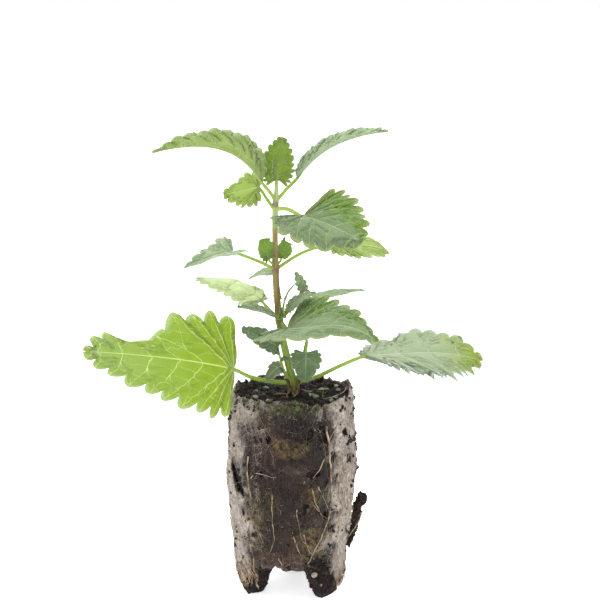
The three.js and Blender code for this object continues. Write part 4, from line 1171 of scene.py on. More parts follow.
def veinDistance(leaf, phase, share, spacing):
    # Distance to the nearest side vein, in half widths of that vein. A vein runs to every second lobe,
    # and a branch leaves it for the lobe before
    best = np.full(np.broadcast_shapes(phase.shape, share.shape), 9.0)
    for k in range(leaf["teeth"]):
        crest = k + 0.6
        if k % 2 == 1:
            line = crest
            width = mix(0.34, 0.17, share) * leaf["veinWidth"]
        else:
            join = 0.36 + 0.12 * math.sin(3.1 * k + leaf["seed"])
            away = smooth((share - join) / (1 - join))
            parent = crest + 1.0 if k + 1 < leaf["teeth"] else crest
            line = mix(parent, crest, away)
            width = mix(0.26, 0.14, share) * leaf["veinWidth"] * np.where(share < join, 0.01, 1)
        wobble = 0.08 * np.sin(9 * share + 2.3 * k + leaf["seed"])
        best = np.minimum(best, np.abs(phase - line - wobble) * spacing / width)
        # Cross veins link each vein to the next one
        for step in (0.3, 0.52, 0.72, 0.88):
            level = step + 0.04 * math.sin(5.3 * k + 11 * step)
            tilt = level + 0.10 * (phase - line)
            gap = np.abs(share - tilt) * leaf["width"] / 2
            linked = (phase > line) & (phase < line + 1)
            best = np.minimum(best, np.where(linked, gap / (0.13 * leaf["veinWidth"]) + 0.5, 9.0))
    return best


def leafGrid(given, defaults=leafDefaults):
    leaf = {**defaults, **given}
    leaf["veinWidth"] = max(0.45, leaf["width"] / 24)
    at, centre, axes, surface = leafPlace(leaf)
    teeth, columns = leaf["teeth"], leaf["columns"]
    lead = np.linspace(-1, 0, leaf["leadRows"], endpoint=False)
    rows = np.arange(teeth * leaf["perTooth"]) / leaf["perTooth"]
    phase = np.concatenate([lead, rows, teeth + np.linspace(0, leaf["endLobe"], leaf["perTooth"])])
    share = np.linspace(0, 1, columns) ** 0.9
    edges = {1: lobedEdge({**leaf, **leaf["left"]}, phase), -1: lobedEdge({**leaf, **leaf["right"]}, phase)}
    start = np.clip((edges[1][2] + edges[-1][2]) / 2, 0, 1)
    start = np.maximum.accumulate(start) + np.linspace(0, 0.03, len(start))
    start = start / start[-1] * 0.985
    points, faces, uv = [], [], []
    floats = {}
    count = 0
    spine = {}
    for sign in (1, -1):
        half = {**leaf, **(leaf["left"] if sign == 1 else leaf["right"])}
        ex, ey, _, lobe = edges[sign]
        x = start[:, None] * (1 - share) + ex[:, None] * share
        x = x - leaf["veinBow"] * np.sin(math.pi * share) * smooth(start[:, None] * 4)
        y = sign * ey[:, None] * share
        middle = surface(x, y)
        alongRow = np.gradient(middle, axis=0)
        acrossRow = np.gradient(middle, axis=1)
        normal = np.cross(alongRow, acrossRow) * sign
        size = np.linalg.norm(normal, axis=-1, keepdims=True)
        plain = axes(x)[1]
        normal = np.where(size > 1e-9, normal / np.maximum(size, 1e-9), plain)
        normal[:, 0] = plain[:, 0]
        for column, weight in ((1, 0.75), (2, 0.5), (3, 0.25)):
            normal[:, column] = mix(normal[:, column], plain[:, column], weight)
        normal = unit(normal)
        spacing = np.linalg.norm(alongRow, axis=-1) / np.gradient(phase)[:, None]
        near = veinDistance(leaf, phase[:, None], share[None, :], spacing)
        ribGap = np.abs(y) * leaf["width"] / 2
        near = np.minimum(near, ribGap / (mix(0.45, 0.12, x.clip(0, 1)) * leaf["veinWidth"]))
        groove = np.exp(-(near / 2.4) ** 2)
        inside = np.sin(math.pi * np.clip(share, 0, 1))[None, :] ** 0.6
        wave = half["ripple"] * share[None, :] ** 2 * np.sin(2.1 * phase[:, None] + sign + leaf["seed"])
        lobeCup = -0.06 * half["tooth"] * lobe[:, None] * share[None, :] ** 6
        lift = ((1 - 1.5 * groove) * half["quilt"] * inside + wave + lobeCup
                - half["droop"] * share[None, :] ** 2.5)
        blade = middle + normal * lift[..., None]
        thin = leaf["thick"] / 2 * (1 - 0.5 * share[None, :] ** 5)
        keelWidth = 0.4 + 0.3 * leaf["stalk"]
        keel = leaf["stalk"] * 0.8 * (1 - 0.85 * x.clip(0, 1)) * np.exp(-(ribGap / keelWidth) ** 2)
        ridge = 0.16 * leaf["veinWidth"] * np.exp(-(near / 1.6) ** 2) * (1 - share[None, :])
        sides = {"top": (blade + normal * thin[..., None], 0.0),
                 "base": (blade - normal * (thin + keel + ridge)[..., None], 1.0)}
        first = 0 if sign == 1 else 1
        ids = {}
        for name, (grid, under) in sides.items():
            ids[name] = np.zeros(x.shape, dtype=int)
            ids[name][:, first:] = count + np.arange(x[:, first:].size).reshape(len(phase), -1)
            if first:
                ids[name][:, 0] = spine[name]
            spine[name] = ids[name][:, 0]
            count += x[:, first:].size
            points.append(grid[:, first:].reshape(-1, 3))
            across = np.broadcast_to(share, x.shape)[:, first:]
            values = {"lobePlace": np.broadcast_to(phase[:, None], x.shape)[:, first:],
                      "spacing": spacing[:, first:], "reach": ribGap[:, first:], "along": x[:, first:],
                      "across": across,
                      "underside": np.full(across.shape, under), "hairs": 0.6 + 1.6 * across ** 6,
                      # clear marks the half painted as lit through from behind (painted light), fading in
                      # from the midrib
                      "clear": smooth((across - 0.15) / 0.6) * float(leaf["clear"] == sign),
                      "stalk": np.zeros(across.shape)}
            for key, value in values.items():
                floats.setdefault(key, []).append(value.ravel())
            flat = np.stack([x * leaf["length"], y * leaf["width"] / 2], -1)
            uv.append(flat[:, first:].reshape(-1, 2) + leaf["seed"] * 7.3)
        top, base = ids["top"], ids["base"]
        allFaces = np.concatenate([
            gridFaces(top), gridFaces(base)[:, ::-1],
            gridFaces(np.stack([top[:, -1], base[:, -1]], 1)),
            gridFaces(np.stack([base[0], top[0]], 0)),
            gridFaces(np.stack([top[-1], base[-1]], 0))])
        faces.append(allFaces[:, ::-1] if sign > 0 else allFaces)
    values = {key: np.concatenate(value) for key, value in floats.items()}
    return np.concatenate(points), np.concatenate(faces), values, np.concatenate(uv), leaf, (at, centre, axes)


def addTube(parts, points, radii, sides, steps, hairs):
    # Adds a stalk to the parts of a leaf or shoot, with the same attributes
    grid, faces = tubeMesh(points, radii, sides, steps)
    values = {key: np.zeros(len(grid)) for key in parts[0][2]}
    values["stalk"] += 1
    values["hairs"] += hairs
    parts.append((grid, faces, values, grid[:, :2]))


def joinParts(name, parts, material):
    points, faces, uv = [], [], []
    floats = {key: [] for key in parts[0][2]}
    count = 0
    for grid, quads, values, flat in parts:
        points.append(grid)
        faces.extend([[int(i) + count for i in f] for f in quads])
        for key in floats:
            floats[key].append(values[key])
        uv.append(flat)
        count += len(grid)
    return addPiece(name, np.concatenate(points), faces, material,
                    floats={k: np.concatenate(v) for k, v in floats.items()}, uv=np.concatenate(uv))


def makeLeaf(given):
    grid, faces, floats, uv, leaf, (at, centre, axes) = leafGrid(given)
    parts = [(grid, faces, floats, uv)]
    ends = np.array([0.0, 0.05])
    keelLine = centre(ends) - axes(ends)[1] * 0.4 * leaf["stalk"]
    line = [leaf["from"], *[at(pair) for pair in leaf["via"]], *keelLine]
    stalk = leaf["stalk"]
    addTube(parts, line, [stalk, stalk * 0.95, stalk * 0.85, stalk * 0.7], 14, 40, 1.4)
    skin = leafMaterial(given["name"] + "Skin", given["look"], leaf["veinWidth"])
    return joinParts(given["name"], parts, skin)


# Colours of the sides, veins and light through each leaf, in ordinary 0 to 255 values
looks = {
    "bright": {"face": (146, 172, 54), "faceDark": (136, 164, 50), "under": (154, 174, 76),
               "vein": (218, 226, 158), "glow": (178, 198, 36), "veinGlow": (230, 238, 166),
               "through": 0.48, "specks": 0.10, "tip": 0.8, "tipColour": (146, 168, 112), "tipFrom": 0.1,
               "veinShow": 0.95, "edge": 0.6, "edgeColour": (196, 212, 180), "veinEvery": 1,
               "veinWidth": 0.8},
    "pale": {"face": (164, 176, 150), "faceDark": (152, 168, 134), "under": (172, 184, 156),
             "vein": (192, 202, 176), "glow": (160, 174, 118), "veinGlow": (186, 198, 150), "net": 0.3,
             "through": 0.4, "specks": 0.5, "tip": 1.0, "tipColour": (150, 168, 46), "tipFrom": 0.55,
             "edge": 0.8, "edgeColour": (206, 218, 220)},
    # In sage and the looks built on it, the colours of the clear half are painted light: the saturated green
    # of a half lit through from behind
    "sage": {"face": (122, 141, 102), "faceDark": (108, 130, 86), "under": (146, 162, 110),
             "vein": (172, 188, 102), "glow": (116, 144, 54), "veinGlow": (178, 192, 84), "net": 0.5,
             "through": 0.38, "sheen": 0.5, "paintedBacklitFace": (94, 128, 16), "paintedBacklitGlow": (116, 150, 8),
             "edge": 0.65, "edgeColour": (176, 188, 114), "veinEvery": 1, "veinWidth": 0.9},
    "soft": {"face": (144, 164, 90), "faceDark": (132, 153, 78), "under": (162, 178, 114),
             "vein": (206, 214, 170), "glow": (152, 174, 70), "veinGlow": (202, 212, 148), "net": 0.4,
             "through": 0.42, "sheen": 0.4},
    "silver": {"face": (162, 178, 144), "faceDark": (148, 166, 126), "under": (174, 188, 152),
               "vein": (200, 210, 182), "glow": (150, 174, 106), "veinGlow": (190, 204, 150), "net": 0.4,
               "through": 0.42, "sheen": 0.5},
    "fresh": {"face": (140, 162, 70), "faceDark": (124, 149, 58), "under": (136, 156, 74),
              "vein": (168, 184, 110), "glow": (140, 170, 34), "veinGlow": (176, 192, 80), "net": 0.4,
              "through": 0.44, "sheen": 0.4},
    "young": {"face": (134, 152, 118), "faceDark": (112, 134, 94), "under": (152, 168, 128),
              "vein": (194, 206, 178), "glow": (126, 152, 82), "veinGlow": (180, 194, 128), "net": 0.3,
              "through": 0.42, "sheen": 0.5, "edge": 0.95, "edgeColour": (210, 216, 200)},
    "axil": {"face": (142, 168, 84), "faceDark": (126, 154, 68), "under": (148, 172, 94),
             "vein": (172, 190, 120), "glow": (150, 184, 60), "veinGlow": (180, 198, 96), "net": 0.4,
             "through": 0.55, "sheen": 0.4},
    "lime": {"face": (162, 180, 96), "faceDark": (152, 172, 86), "under": (176, 192, 116),
             "vein": (218, 228, 180), "glow": (172, 194, 76), "veinGlow": (222, 230, 166), "net": 0.5,
             "through": 0.46},
}

mainLeaves = [
    {"name": "leaf_base_left", "from": stemAt(69.6), "azimuth": 200, "length": 50, "width": 28, "roll": -62,
     "twist": 12, "lobe": 0.03, "hip": 1.75, "belly": 1.0, "fullness": 0.95,
     "via": [(9.6, 1.9), (15.4, 3.9)], "midrib": [(20.3, 6.7), (36.4, 11.6), (53, 14.5), (69.8, 16.8)],
     "look": looks["bright"], "teeth": 9, "rake": 1.3, "ripple": 0.2,
     "left": {"tooth": 3.6, "bare": 0.15, "crowd": 0.8, "point": 0.6, "lean": 0.45},
     "right": {"tooth": 4.6, "bare": 0.2, "crowd": 0.7, "lean": 0.0, "dent": (0.40, 0.86, 0.5)}},
    {"name": "leaf_base_right", "from": stemAt(69.6), "azimuth": 21.5, "length": 45, "width": 23.5,
     "roll": 2, "twist": 42, "lobe": -0.03, "hip": 0.6, "fullness": 1.3, "via": [(8.4, 1.6), (17, 4.6)],
     "midrib": [(25.3, 7.2), (40, 6.0), (56, 7.6), (70.2, 1.0)], "look": looks["pale"], "seed": 1,
     "teeth": 13, "left": {"tooth": 3.2, "bare": 0.04, "lean": 0, "dent": (0.2, 0.42, 0.45)},
     "right": {"tooth": 3.6, "bare": 0.24, "point": 1.7, "skew": 1.9, "lean": 0.5, "droop": 0.6}},
    # clear picks the half whose face is painted a saturated green as painted light coming through it from
    # behind
    {"name": "leaf_first_front", "from": stemAt(90.4), "azimuth": -45, "length": 41, "width": 27,
     "roll": 19, "fold": 17, "unfold": -20, "lobe": 0.1, "hip": 1.35, "belly": 1.45, "fullness": 0.2,
     "via": [(1.5, -0.6)], "midrib": [(3.6, -1.8), (16, 0.4), (31, 7.2), (43, 0.4)], "seed": 2, "clear": 1,
     "quilt": 0.5, "teeth": 8,
     "look": {**looks["sage"], "face": (148, 165, 126), "faceDark": (134, 154, 108),
              "vein": (190, 202, 136), "glow": (142, 168, 84), "paintedBacklitFace": (88, 122, 6),
              "paintedBacklitGlow": (128, 160, 2)},
     "left": {"tooth": 4.6, "bare": 0.2, "crowd": 0.92, "lean": 0.1, "fade": 0.8, "point": 0.55,
              "skew": 1.0, "quilt": 0.25, "breadth": 1.05},
     "right": {"tooth": 4.4, "bare": 0.02, "crowd": 0.8, "fade": 0.9, "droop": 0.5}},
    {"name": "leaf_first_back", "from": stemAt(91), "azimuth": 146, "length": 28, "width": 11, "roll": -15,
     "fold": -18, "teeth": 8, "tooth": 1.5, "stalk": 0.55, "lobe": 0, "via": [(2.6, 2)],
     "midrib": [(6.9, 5.6), (13.5, 10.4), (24, 11.6), (34.3, 9.8)], "seed": 3,
     "look": {**looks["silver"], "face": (200, 212, 178), "faceDark": (182, 198, 156),
              "glow": (212, 222, 172), "through": 0.55}},
    {"name": "leaf_second_left", "from": stemAt(107.8), "azimuth": 210, "length": 17, "width": 12,
     "roll": -12, "fold": 20, "teeth": 7, "tooth": 1.5, "stalk": 0.6, "lobe": 0.16, "hip": 2.0,
     "belly": 1.0, "fullness": 0.35, "endLobe": 0.6, "via": [(7, 3.6)],
     "midrib": [(15.4, 7.2), (20.5, 6.8), (27, 5.4), (33, 3.6)], "seed": 4,
     "look": {**looks["silver"], "face": (180, 194, 164), "faceDark": (164, 180, 146),
              "glow": (168, 190, 130)}},
    {"name": "leaf_second_right", "from": stemAt(107.8), "azimuth": 30, "length": 22, "width": 14,
     "roll": 22, "teeth": 7, "tooth": 1.6, "stalk": 0.6, "via": [(10, 4.6)], "fullness": 1.65, "fade": 0,
     "midrib": [(20, 6.6), (27, 7), (35, 5.4), (42.5, 2.8)], "look": looks["lime"], "seed": 5},
    # clear picks the half painted as lit through from behind: painted light
    {"name": "leaf_third_front", "from": stemAt(127.6), "azimuth": -49, "length": 28, "width": 26,
     "roll": 15, "twist": 16, "fold": 18, "unfold": -30, "lobe": 0.08, "hip": 1.2, "fullness": 0.85,
     "via": [(6, 0.6)], "midrib": [(13.6, -0.8), (22, -1.2), (31.6, -2.6), (41, -5.4)],
     "look": looks["sage"], "seed": 6, "clear": 1, "quilt": 0.5, "rake": 1.25, "teeth": 8,
     "left": {"tooth": 3.2, "bare": 0.26, "fullness": 0.7, "belly": 1.5, "crowd": 0.9, "lean": 0.1,
              "point": 0.45, "skew": 1.1, "quilt": 0.25},
     "right": {"tooth": 2.4, "bare": 0.03, "crowd": 0.8}},
    {"name": "leaf_third_back", "from": stemAt(127), "azimuth": 160, "length": 13, "width": 12.5,
     "roll": -48, "lobe": 0.08, "teeth": 6, "tooth": 2.0, "stalk": 0.6, "via": [(2.4, 3)], "rake": 1.4,
     "midrib": [(5.6, 7.2), (9, 6.4), (13, 5.8), (18, 4.2)], "look": looks["lime"], "seed": 7},
    {"name": "leaf_fourth_left", "from": stemAt(130), "azimuth": 206, "length": 43, "width": 14.2,
     "roll": 0, "fold": 38, "unfold": -8, "lobe": -0.08, "teeth": 13, "tooth": 2.2, "stalk": 0.65,
     "hip": 0.55, "belly": 1.55, "fullness": 1.1, "via": [(2, 3)], "rake": 1.6, "lean": 0, "skew": 1.0,
     "uneven": 0.06, "fade": 0.1, "quilt": 0.24, "midrib": [(4.6, 6.4), (12.5, 20), (26.5, 21), (42, 18)],
     "look": looks["soft"], "seed": 8, "left": {"foldMore": 16},
     "right": {"foldMore": -16, "breadth": 0.5}},
    {"name": "leaf_fourth_right", "from": stemAt(130), "azimuth": 25, "length": 39, "width": 12, "roll": 0,
     "fold": 38, "unfold": -16, "lobe": -0.04, "teeth": 12, "tooth": 2.0, "stalk": 0.65, "hip": 0.8,
     "fullness": 0.8, "via": [(3.4, 3.4)], "rake": 1.4, "lean": 0, "skew": 1.0, "uneven": 0.06, "fade": 0.1,
     "quilt": 0.24, "midrib": [(7.4, 7.3), (15, 17), (26, 20.2), (40.6, 20.9)], "look": looks["silver"],
     "seed": 9, "left": {"foldMore": -16, "breadth": 0.5}, "right": {"foldMore": 16}},
]

green = []
for given in mainLeaves:
    leafPiece = makeLeaf({**given, "name": given["name"] + "_blade"})
    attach(leafPiece, body)
    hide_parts(given["name"])
    green.append(leafPiece)
print("stage: main leaves")


# Side shoots and the young leaves at the tip

shoots = [
    {"name": "shoot_base_left", "look": looks["young"],
     "stalks": [([(0.3, 0, 69), (-2.8, -1.5, 74.3), (-3.8, -2, 78), (-5, -2.5, 83.3)], (0.75, 0.5, 0.4))],
     "leaves": [
         {"from": (-4.75, -2.4, 82.7), "azimuth": 192, "length": 13, "width": 9, "roll": -38, "teeth": 6,
          "midrib": [(0, 0), (4, 2.8), (8, 4.8), (12, 6.4)]},
         {"from": (-3.1, -1.5, 75.3), "azimuth": 200, "length": 7.5, "width": 6, "roll": -28,
          "midrib": [(0.4, 0.4), (2, 1), (4, -0.8), (6, -4.2)]},
         {"from": (-3.7, -1.9, 77.8), "azimuth": -10, "length": 3, "width": 2.6, "roll": 20, "teeth": 3,
          "tooth": 0.5, "midrib": [(0, 0.4), (0.8, 1), (1.6, 1), (2.4, 0.4)]}]},
    {"name": "shoot_base_right", "look": looks["young"],
     "stalks": [([(0.4, 0, 69), (2.4, 1.5, 73), (3.6, 1.8, 79), (4.6, 1, 84), (4.7, -0.8, 83),
                  (4.4, -1.6, 80)],
                 (0.85, 0.8, 0.45, 0.4, 0.4, 0.35))],
     "leaves": [
         {"from": (4.4, -1.5, 80.4), "azimuth": -93, "length": 9.5, "width": 10.2, "roll": 0, "fold": -8,
          "lobe": 0.12, "midrib": [(0, 0), (1, -2.6), (2, -5.6), (2.8, -8.6)]}]},
    {"name": "shoot_first_left", "look": looks["sage"],
     "stalks": [([(-4.4, 0, 92), (-6, -1.6, 92.8), (-7.4, -2.2, 93.4)], (0.6, 0.45, 0.35))],
     "leaves": [
         {"from": (-7, -2.1, 93.2), "azimuth": 188, "length": 11, "width": 7, "roll": -8, "fold": 12,
          "teeth": 6, "midrib": [(0, 0), (3.6, 1.8), (7.4, 2.6), (11, 2.8)]}]},
    {"name": "shoot_first_right", "look": looks["silver"],
     "stalks": [([(-4.5, 0, 92.4), (-2, 1.4, 92.8), (-0.9, 2, 94.4)], (0.6, 0.5, 0.35)),
                ([(-2.4, 1.2, 92.8), (0.6, 5.4, 95), (3.8, 7.2, 99.6)], (0.45, 0.35, 0.35)),
                ([(-2.4, 1.2, 93.4), (-0.6, 5.4, 95.6), (3.4, 8.6, 96.6), (9.4, 10.2, 96)],
                 (0.45, 0.4, 0.35)),
                ([(-3.2, 0.8, 92.6), (-3, 1.8, 95), (-2.4, 2.4, 98)], (0.5, 0.35, 0.3))],
     "leaves": [
         {"from": (-0.9, 2, 94), "azimuth": 18, "length": 10, "width": 6, "roll": 10, "fold": 10,
          "teeth": 6, "midrib": [(0, 0), (2, 3), (5, 4.6), (9.2, 5.2)]},
         {"from": (3.8, 7, 99.2), "azimuth": 130, "length": 7, "width": 3.6, "roll": -20, "teeth": 4,
          "midrib": [(0, 0), (1.2, 2), (2.6, 4), (4.4, 5.8)]},
         {"from": (2.4, 6.5, 97.2), "azimuth": 35, "length": 5.4, "width": 3, "roll": -60, "teeth": 4,
          "midrib": [(0, 0), (0.9, 1.8), (1.5, 3.6), (1.8, 5.6)]},
         {"from": (8.7, 9.95, 96.1), "azimuth": 30, "length": 18, "width": 9, "roll": 0, "fold": 10,
          "teeth": 7, "midrib": [(0, 0), (6, 0.6), (12, 1.4), (18, 0.8)]},
         {"from": (-2.4, 2.4, 97.6), "azimuth": 36, "length": 7.5, "width": 3.6, "roll": -30, "teeth": 4,
          "midrib": [(0, 0), (0.8, 2.4), (3, 4.2), (5.8, 5.2)]}]},
    {"name": "shoot_first_back", "look": looks["silver"],
     "stalks": [([(-4.5, 0, 93), (-4.3, 2.6, 95.4), (-4.6, 6.6, 101), (-6.3, 10, 105)],
                 (0.5, 0.45, 0.4, 0.35))],
     "leaves": [
         {"from": (-6.3, 10, 104.9), "azimuth": 150, "length": 11, "width": 6, "roll": -20, "fold": 10,
          "midrib": [(0, 0), (3, 0), (6.4, -1), (9.6, -3.2)]},
         {"from": (-4.4, 3.7, 97), "azimuth": 150, "length": 4.6, "width": 2.4, "roll": -60, "teeth": 4,
          "tooth": 0.5, "midrib": [(0, 0), (0.8, 1), (1.2, 2.6), (1.4, 4.2)]}]},
    {"name": "shoot_first_front", "look": looks["fresh"],
     "stalks": [([(-4.3, 0, 92), (-4.1, -1.6, 92.2), (-4, -2.2, 93)], (0.6, 0.9, 0.6))],
     "leaves": [
         {"from": (-4, -2, 92.4), "azimuth": -60, "length": 3.6, "width": 2.8, "roll": 30, "teeth": 3,
          "tooth": 0.5, "midrib": [(0, 0), (0.3, 1), (0.5, 2.2), (0.4, 3.4)]},
         {"from": (-3.8, -2, 92.4), "azimuth": -30, "length": 2.6, "width": 2.2, "roll": 20, "teeth": 3,
          "tooth": 0.4, "midrib": [(0, 0), (0.8, 0.3), (1.4, 0.4), (2, 0.2)]}]},
    {"name": "shoot_second_left", "look": looks["axil"],
     "stalks": [([(-5.5, 0, 109.2), (-7, -1, 110.4), (-7.9, -1.4, 112.2)], (0.5, 0.4, 0.35))],
     "leaves": [
         {"from": (-7.9, -1.5, 112), "azimuth": 200, "length": 6.4, "width": 4.6, "roll": -90, "hip": 0.4,
          "tooth": 0.35, "fullness": 1.7, "midrib": [(0, 0), (0.5, 2), (0.9, 4.2), (1, 6.4)]},
         {"from": (-7.6, -1.1, 111.4), "azimuth": 150, "length": 6.6, "width": 3.6, "roll": -74,
          "midrib": [(0, 0), (1.4, 1.6), (2.6, 3.4), (3.4, 5.8)]}]},
    {"name": "shoot_second_right", "look": looks["axil"],
     "stalks": [([(-5.5, 0, 109.2), (-4, 1, 110.2), (-3.4, 1.4, 111.8)], (0.5, 0.4, 0.35))],
     "leaves": [
         {"from": (-3.4, 1.3, 111.4), "azimuth": 20, "length": 5.6, "width": 4.6, "roll": 90, "hip": 0.4,
          "tooth": 0.35, "fullness": 1.7, "midrib": [(0, 0), (0.5, 1.8), (1.2, 3.6), (1.9, 5.2)]},
         {"from": (-3.4, 1.8, 111.6), "azimuth": 70, "length": 6.4, "width": 3.4, "roll": 60,
          "midrib": [(0, 0), (0.8, 2), (1.6, 4.2), (2.4, 6.2)]}]},
    {"name": "tip_leaves", "look": looks["fresh"],
     "stalks": [([(-5.1, 0.1, 136.2), (-5.1, -0.6, 136.9), (-5, -1.2, 137.9)], (0.62, 0.6, 0.5))],
     "leaves": [
         {"from": (-4.9, -1.4, 137.4), "azimuth": 0, "length": 14, "width": 8.4, "roll": 90, "fold": -4,
          "teeth": 8, "tooth": 1.4, "lobe": 0.14, "hip": 1, "fullness": 1.25, "columns": 20,
          "midrib": [(0, 0), (0.2, 4.4), (0.8, 9), (1.9, 13.4)]},
         {"from": (-5, 0.6, 137.6), "azimuth": 65, "length": 11.5, "width": 8, "roll": 80, "fold": 10,
          "teeth": 6, "tooth": 1.1, "lobe": 0.04, "columns": 16,
          "midrib": [(0, 0), (1.2, 3.6), (2, 7.4), (3.4, 11)]}]},
]


shootVeins = 0.55  # how wide the painted veins are, beside 1 for a leaf 24 mm wide


def makeShoot(shoot):
    parts = []
    for number, given in enumerate(shoot["leaves"]):
        grid, faces, floats, uv, _, _ = leafGrid({"seed": number + 1, **given}, smallDefaults)
        floats["hairs"] = floats["hairs"] * 2
        parts.append((grid, faces, floats, uv))
    for path, radii in shoot["stalks"]:
        addTube(parts, path, radii, 10, 10 * (len(path) - 1), 2.5)
    skin = leafMaterial(shoot["name"] + "Skin", shoot["look"], shootVeins)
    return joinParts(shoot["name"] + "_sprig", parts, skin)


for shoot in shoots:
    sprig = makeShoot(shoot)
    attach(sprig, body)
    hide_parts(shoot["name"])
    green.append(sprig)
print("stage: shoots")

hairSizes = {"Density": 1.1, "Length": 0.55, "Radius": 0.022, "Lean": 0.45, "Seed": 5}
hairs = hairTree("plantHairs", hairLook)
for piece in [stem, *green]:
    fur = grow(hairs, piece, piece.name + "Hairs", hairSizes)
    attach(fur, body)
print("stage: hairs")


# Roots over the sleeve, and the finer ones that are only seen close by

# Paths over the sleeve are angles and heights
rootSizes = {
    "standOff": 0.42, "step": 1.2, "thinStandOff": 0.1, "thinStep": 1.0,
    "roots": {
        "root_long": (0.34, [(-59, 60.5), (-56, 54), (-54, 45.5), (-51, 38.5), (-54, 28.5), (-63, 20.5),
                             (-74, 14)]),
        "root_right_fork": (0.2, [(-61, 49.5), (-66, 46.5), (-72, 43.8)]),
        "root_right_low": (0.2, [(-73, 40.5), (-68, 34.6), (-60, 28.8)]),
        "root_left": (0.26, [(-130, 50), (-131, 44), (-126, 36.5)]),
        "root_left_loop": (0.18, [(-139, 22.5), (-131, 19.6), (-122, 18.4), (-118, 21.4)]),
        "root_side": (0.2, [(-45, 44), (-41, 34), (-40, 24), (-43, 13)]),
        "root_back": (0.26, [(118, 56), (112, 44), (104, 34), (108, 20)]),
        "root_back_low": (0.2, [(70, 44), (62, 30), (66, 18)]),
    },
    # Thin side roots: path and radius
    "thin": [
        ([(-128, 42.7), (-124, 44.6), (-117, 44.8), (-109, 43.6), (-105, 43.9)], 0.17),
        ([(-108, 38), (-108.5, 30), (-108, 21.2), (-112, 18), (-118, 15.6)], 0.15),
        ([(-54, 28.5), (-60, 30), (-68, 33), (-74, 36)], 0.16),
        ([(-66, 40.5), (-60, 36), (-52, 30)], 0.15), ([(-79, 24), (-74, 19), (-68, 15)], 0.2),
        ([(-86, 33), (-84, 27), (-80, 22), (-73, 19.5)], 0.15), ([(-90, 25), (-85, 20), (-80, 15)], 0.17),
        ([(-131, 22), (-127, 25), (-121, 24), (-118, 21)], 0.14),
        ([(-134, 25), (-132, 19), (-134, 12)], 0.16),
        ([(-57, 55), (-50, 58), (-44, 61)], 0.13), ([(-40, 50), (-38, 40), (-36, 28)], 0.15),
        ([(-33, 46), (-31, 34), (-34, 20)], 0.14), ([(-104, 16), (-98, 13), (-93, 14)], 0.14),
        ([(40, 50), (52, 42), (60, 30)], 0.17), ([(130, 45), (138, 34), (134, 22)], 0.17),
        ([(165, 55), (170, 40), (162, 26), (158, 14)], 0.18), ([(5, 48), (2, 36), (8, 24)], 0.16),
    ],
}


def onSkin(path, standOff, step):
    # A smooth line over the crumpled sheet through angles and heights
    degree = 0.35  # millimetres to a degree round the sheet
    route = np.array([(angle * degree, height) for angle, height in path])
    length = np.sum(np.linalg.norm(np.diff(route, axis=0), axis=1))
    flat = smoothLine(np.column_stack([route, np.zeros(len(route))]), max(4, int(length / step)))
    angle, height = np.radians(flat[:, 0] / degree), flat[:, 1]
    return polar(angle, sleeveSkin(angle, height)[0] + standOff, height)


rootThreads = threadTree("rootThreads", rootLook)
for name, (radius, path) in rootSizes["roots"].items():
    line = onSkin(path, rootSizes["standOff"], rootSizes["step"])
    strand = growThreads(rootThreads, name + "_strand", [line], [radius],
                         {"Sides": 9, "Wander": 0.5, "Bends": 0.3, "Taper": 0.55})
    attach(strand, body)
    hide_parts(name)
lines = [onSkin(path, rootSizes["thinStandOff"], rootSizes["thinStep"]) for path, _ in rootSizes["thin"]]
thinRoots = growThreads(rootThreads, "thinRoots", lines, [radius for _, radius in rootSizes["thin"]],
                        {"Sides": 6, "Wander": 0.5, "Bends": 0.4, "Taper": 0.5})
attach(thinRoots, body)

# Loose roots: at the foot of the stem, over the rim and round the clump
looseRoots = [
    ([(1.3, -1, 68), (1.6, -2.6, 67.6), (1.4, -4.4, 67.2), (0.4, -6.2, 67)], 0.22),
    ([(-0.9, -1, 68), (-1.2, -3.4, 67.5), (-1.9, -5.4, 67.2), (-1.4, -7.4, 67)], 0.18),
    ([(0.4, -1.3, 67.6), (0.1, -3.8, 67.2), (0.9, -6, 67)], 0.15),
    ([(1.8, 0.4, 67.6), (4.6, -0.8, 67.4), (7.2, 0.4, 67), (9.6, -0.6, 66.8)], 0.13),
    ([(17.5, -3, 69), (16.6, -7, 68.8), (13.8, -11, 68.4), (9.6, -13.6, 68.2)], 0.15),
    ([onSleeve(angle, height, away) for angle, height, away in clumpSizes["root"]], clumpSizes["rootRadius"]),
]
looseThreads = growThreads(rootThreads, "looseRoots", [smoothLine(path, 24) for path, _ in looseRoots],
                           [radius for _, radius in looseRoots],
                           {"Sides": 6, "Wander": 0.25, "Bends": 0.35, "Taper": 0.5})
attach(looseThreads, body)

# The seedling's stalk: its path, steps and radius
stalkSizes = {"path": [(9.6, -6.4, 66.4), (9.9, -6.9, 68.2), (10.1, -7.3, 69.7)], "steps": 8, "radius": 0.2}
stalk = growThreads(threadTree("stalkThreads", sproutLook), "seedlingStalk",
                    [smoothLine(stalkSizes["path"], stalkSizes["steps"])], [stalkSizes["radius"]],
                    {"Sides": 6, "Wander": 0.05})
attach(stalk, body)

fibreSizes = {"count": 480, "shortest": 3.0, "longest": 14.0, "thinnest": 0.03, "thickest": 0.075,
              "slant": 90, "step": 1.1, "lowest": 10, "highest": 67.5}


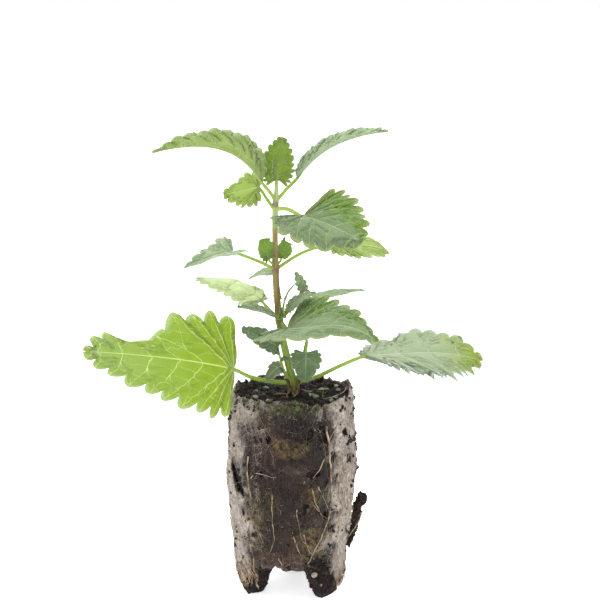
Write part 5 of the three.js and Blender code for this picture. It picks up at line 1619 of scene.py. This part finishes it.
def fibrePaths(sizes):
    # Pale fibres that lie over the sheet, most of them upright
    paths, thick = [], []
    for _ in range(sizes["count"]):
        angle, height = rng.uniform(0, 360), rng.uniform(14, 66)
        length = rng.uniform(sizes["shortest"], sizes["longest"])
        slant = math.radians(rng.normal(0, sizes["slant"] / 2))
        bend = rng.normal(0, 0.05)
        steps = max(4, int(length / sizes["step"]))
        heading = slant + bend * np.arange(steps)
        across = np.cumsum(np.sin(heading)) * length / steps
        up = np.cumsum(np.cos(heading)) * length / steps
        turn = np.radians(angle) + across / plug["sheetRound"]
        level = np.clip(height + up - length / 2, sizes["lowest"], sizes["highest"])
        lift = 0.12 + 0.5 * rng.random() * np.sin(np.linspace(0, math.pi, steps)) ** 2
        paths.append((turn, level, lift))
        thick.append(rng.uniform(sizes["thinnest"], sizes["thickest"]))
    turns, levels, lifts = (np.concatenate([p[k] for p in paths]) for k in range(3))
    points = polar(turns, sleeveSkin(turns, levels)[0] + lifts, levels)
    ends = np.cumsum([len(p[0]) for p in paths])[:-1]
    shades = np.clip(patchMask(turns, levels, sleeveSizes["grime"]) * 1.1, 0, 1)
    return np.split(points, ends), thick, shades


paths, radii, shades = fibrePaths(fibreSizes)
fibres = growThreads(threadTree("fibreThreads", strandLook), "sleeveFibres", paths, radii,
                     {"Sides": 3, "Wander": 0.3, "Bends": 0.4, "Taper": 0.3}, shades)
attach(fibres, body)

fringeSizes = {"perLobe": 62, "above": 7.0, "thinnest": 0.05, "thickest": 0.15, "standOff": 0.35, "steps": 9,
               "lowest": 1.3}


def fringePaths(sizes):
    # Root ends that run down over each lobe of soil from under the hem
    paths, thick = [], []
    for lobe in plug["lobes"]:
        half = lobe["spread"] / lobe["reach"]
        for _ in range(sizes["perLobe"]):
            turn = math.radians(lobe["angle"]) + half * rng.uniform(*lobe["fringe"])
            top = float(hemLine(np.array(turn))) + rng.uniform(-1, sizes["above"])
            foot = rng.uniform(0.6, 5) + 5 * abs(apart(turn, math.radians(lobe["angle"])) / half) ** 2
            level = np.linspace(top, max(sizes["lowest"], min(foot, top - 2)), sizes["steps"])
            sway = turn + np.cumsum(rng.normal(0, 0.02, sizes["steps"]))
            hem = hemLine(sway)
            inset = 0.9 * smooth((hem - level) / 1.5) + 1.3 * smooth((3.5 - level) / 3.5)
            spread = rng.normal(0, 0.2, sizes["steps"])
            radius = sleeveRadius(sway, level) + sizes["standOff"] - inset + spread
            paths.append(polar(sway, radius, level))
            thick.append(rng.uniform(sizes["thinnest"], sizes["thickest"]))
    return paths, thick


paths, radii = fringePaths(fringeSizes)
fringe = growThreads(threadTree("fringeThreads", fringeLook), "lobeRoots", paths, radii,
                     {"Sides": 4, "Wander": 0.7, "Bends": 0.35, "Taper": 0.5})
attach(fringe, body)
print("stage: roots and fibres")
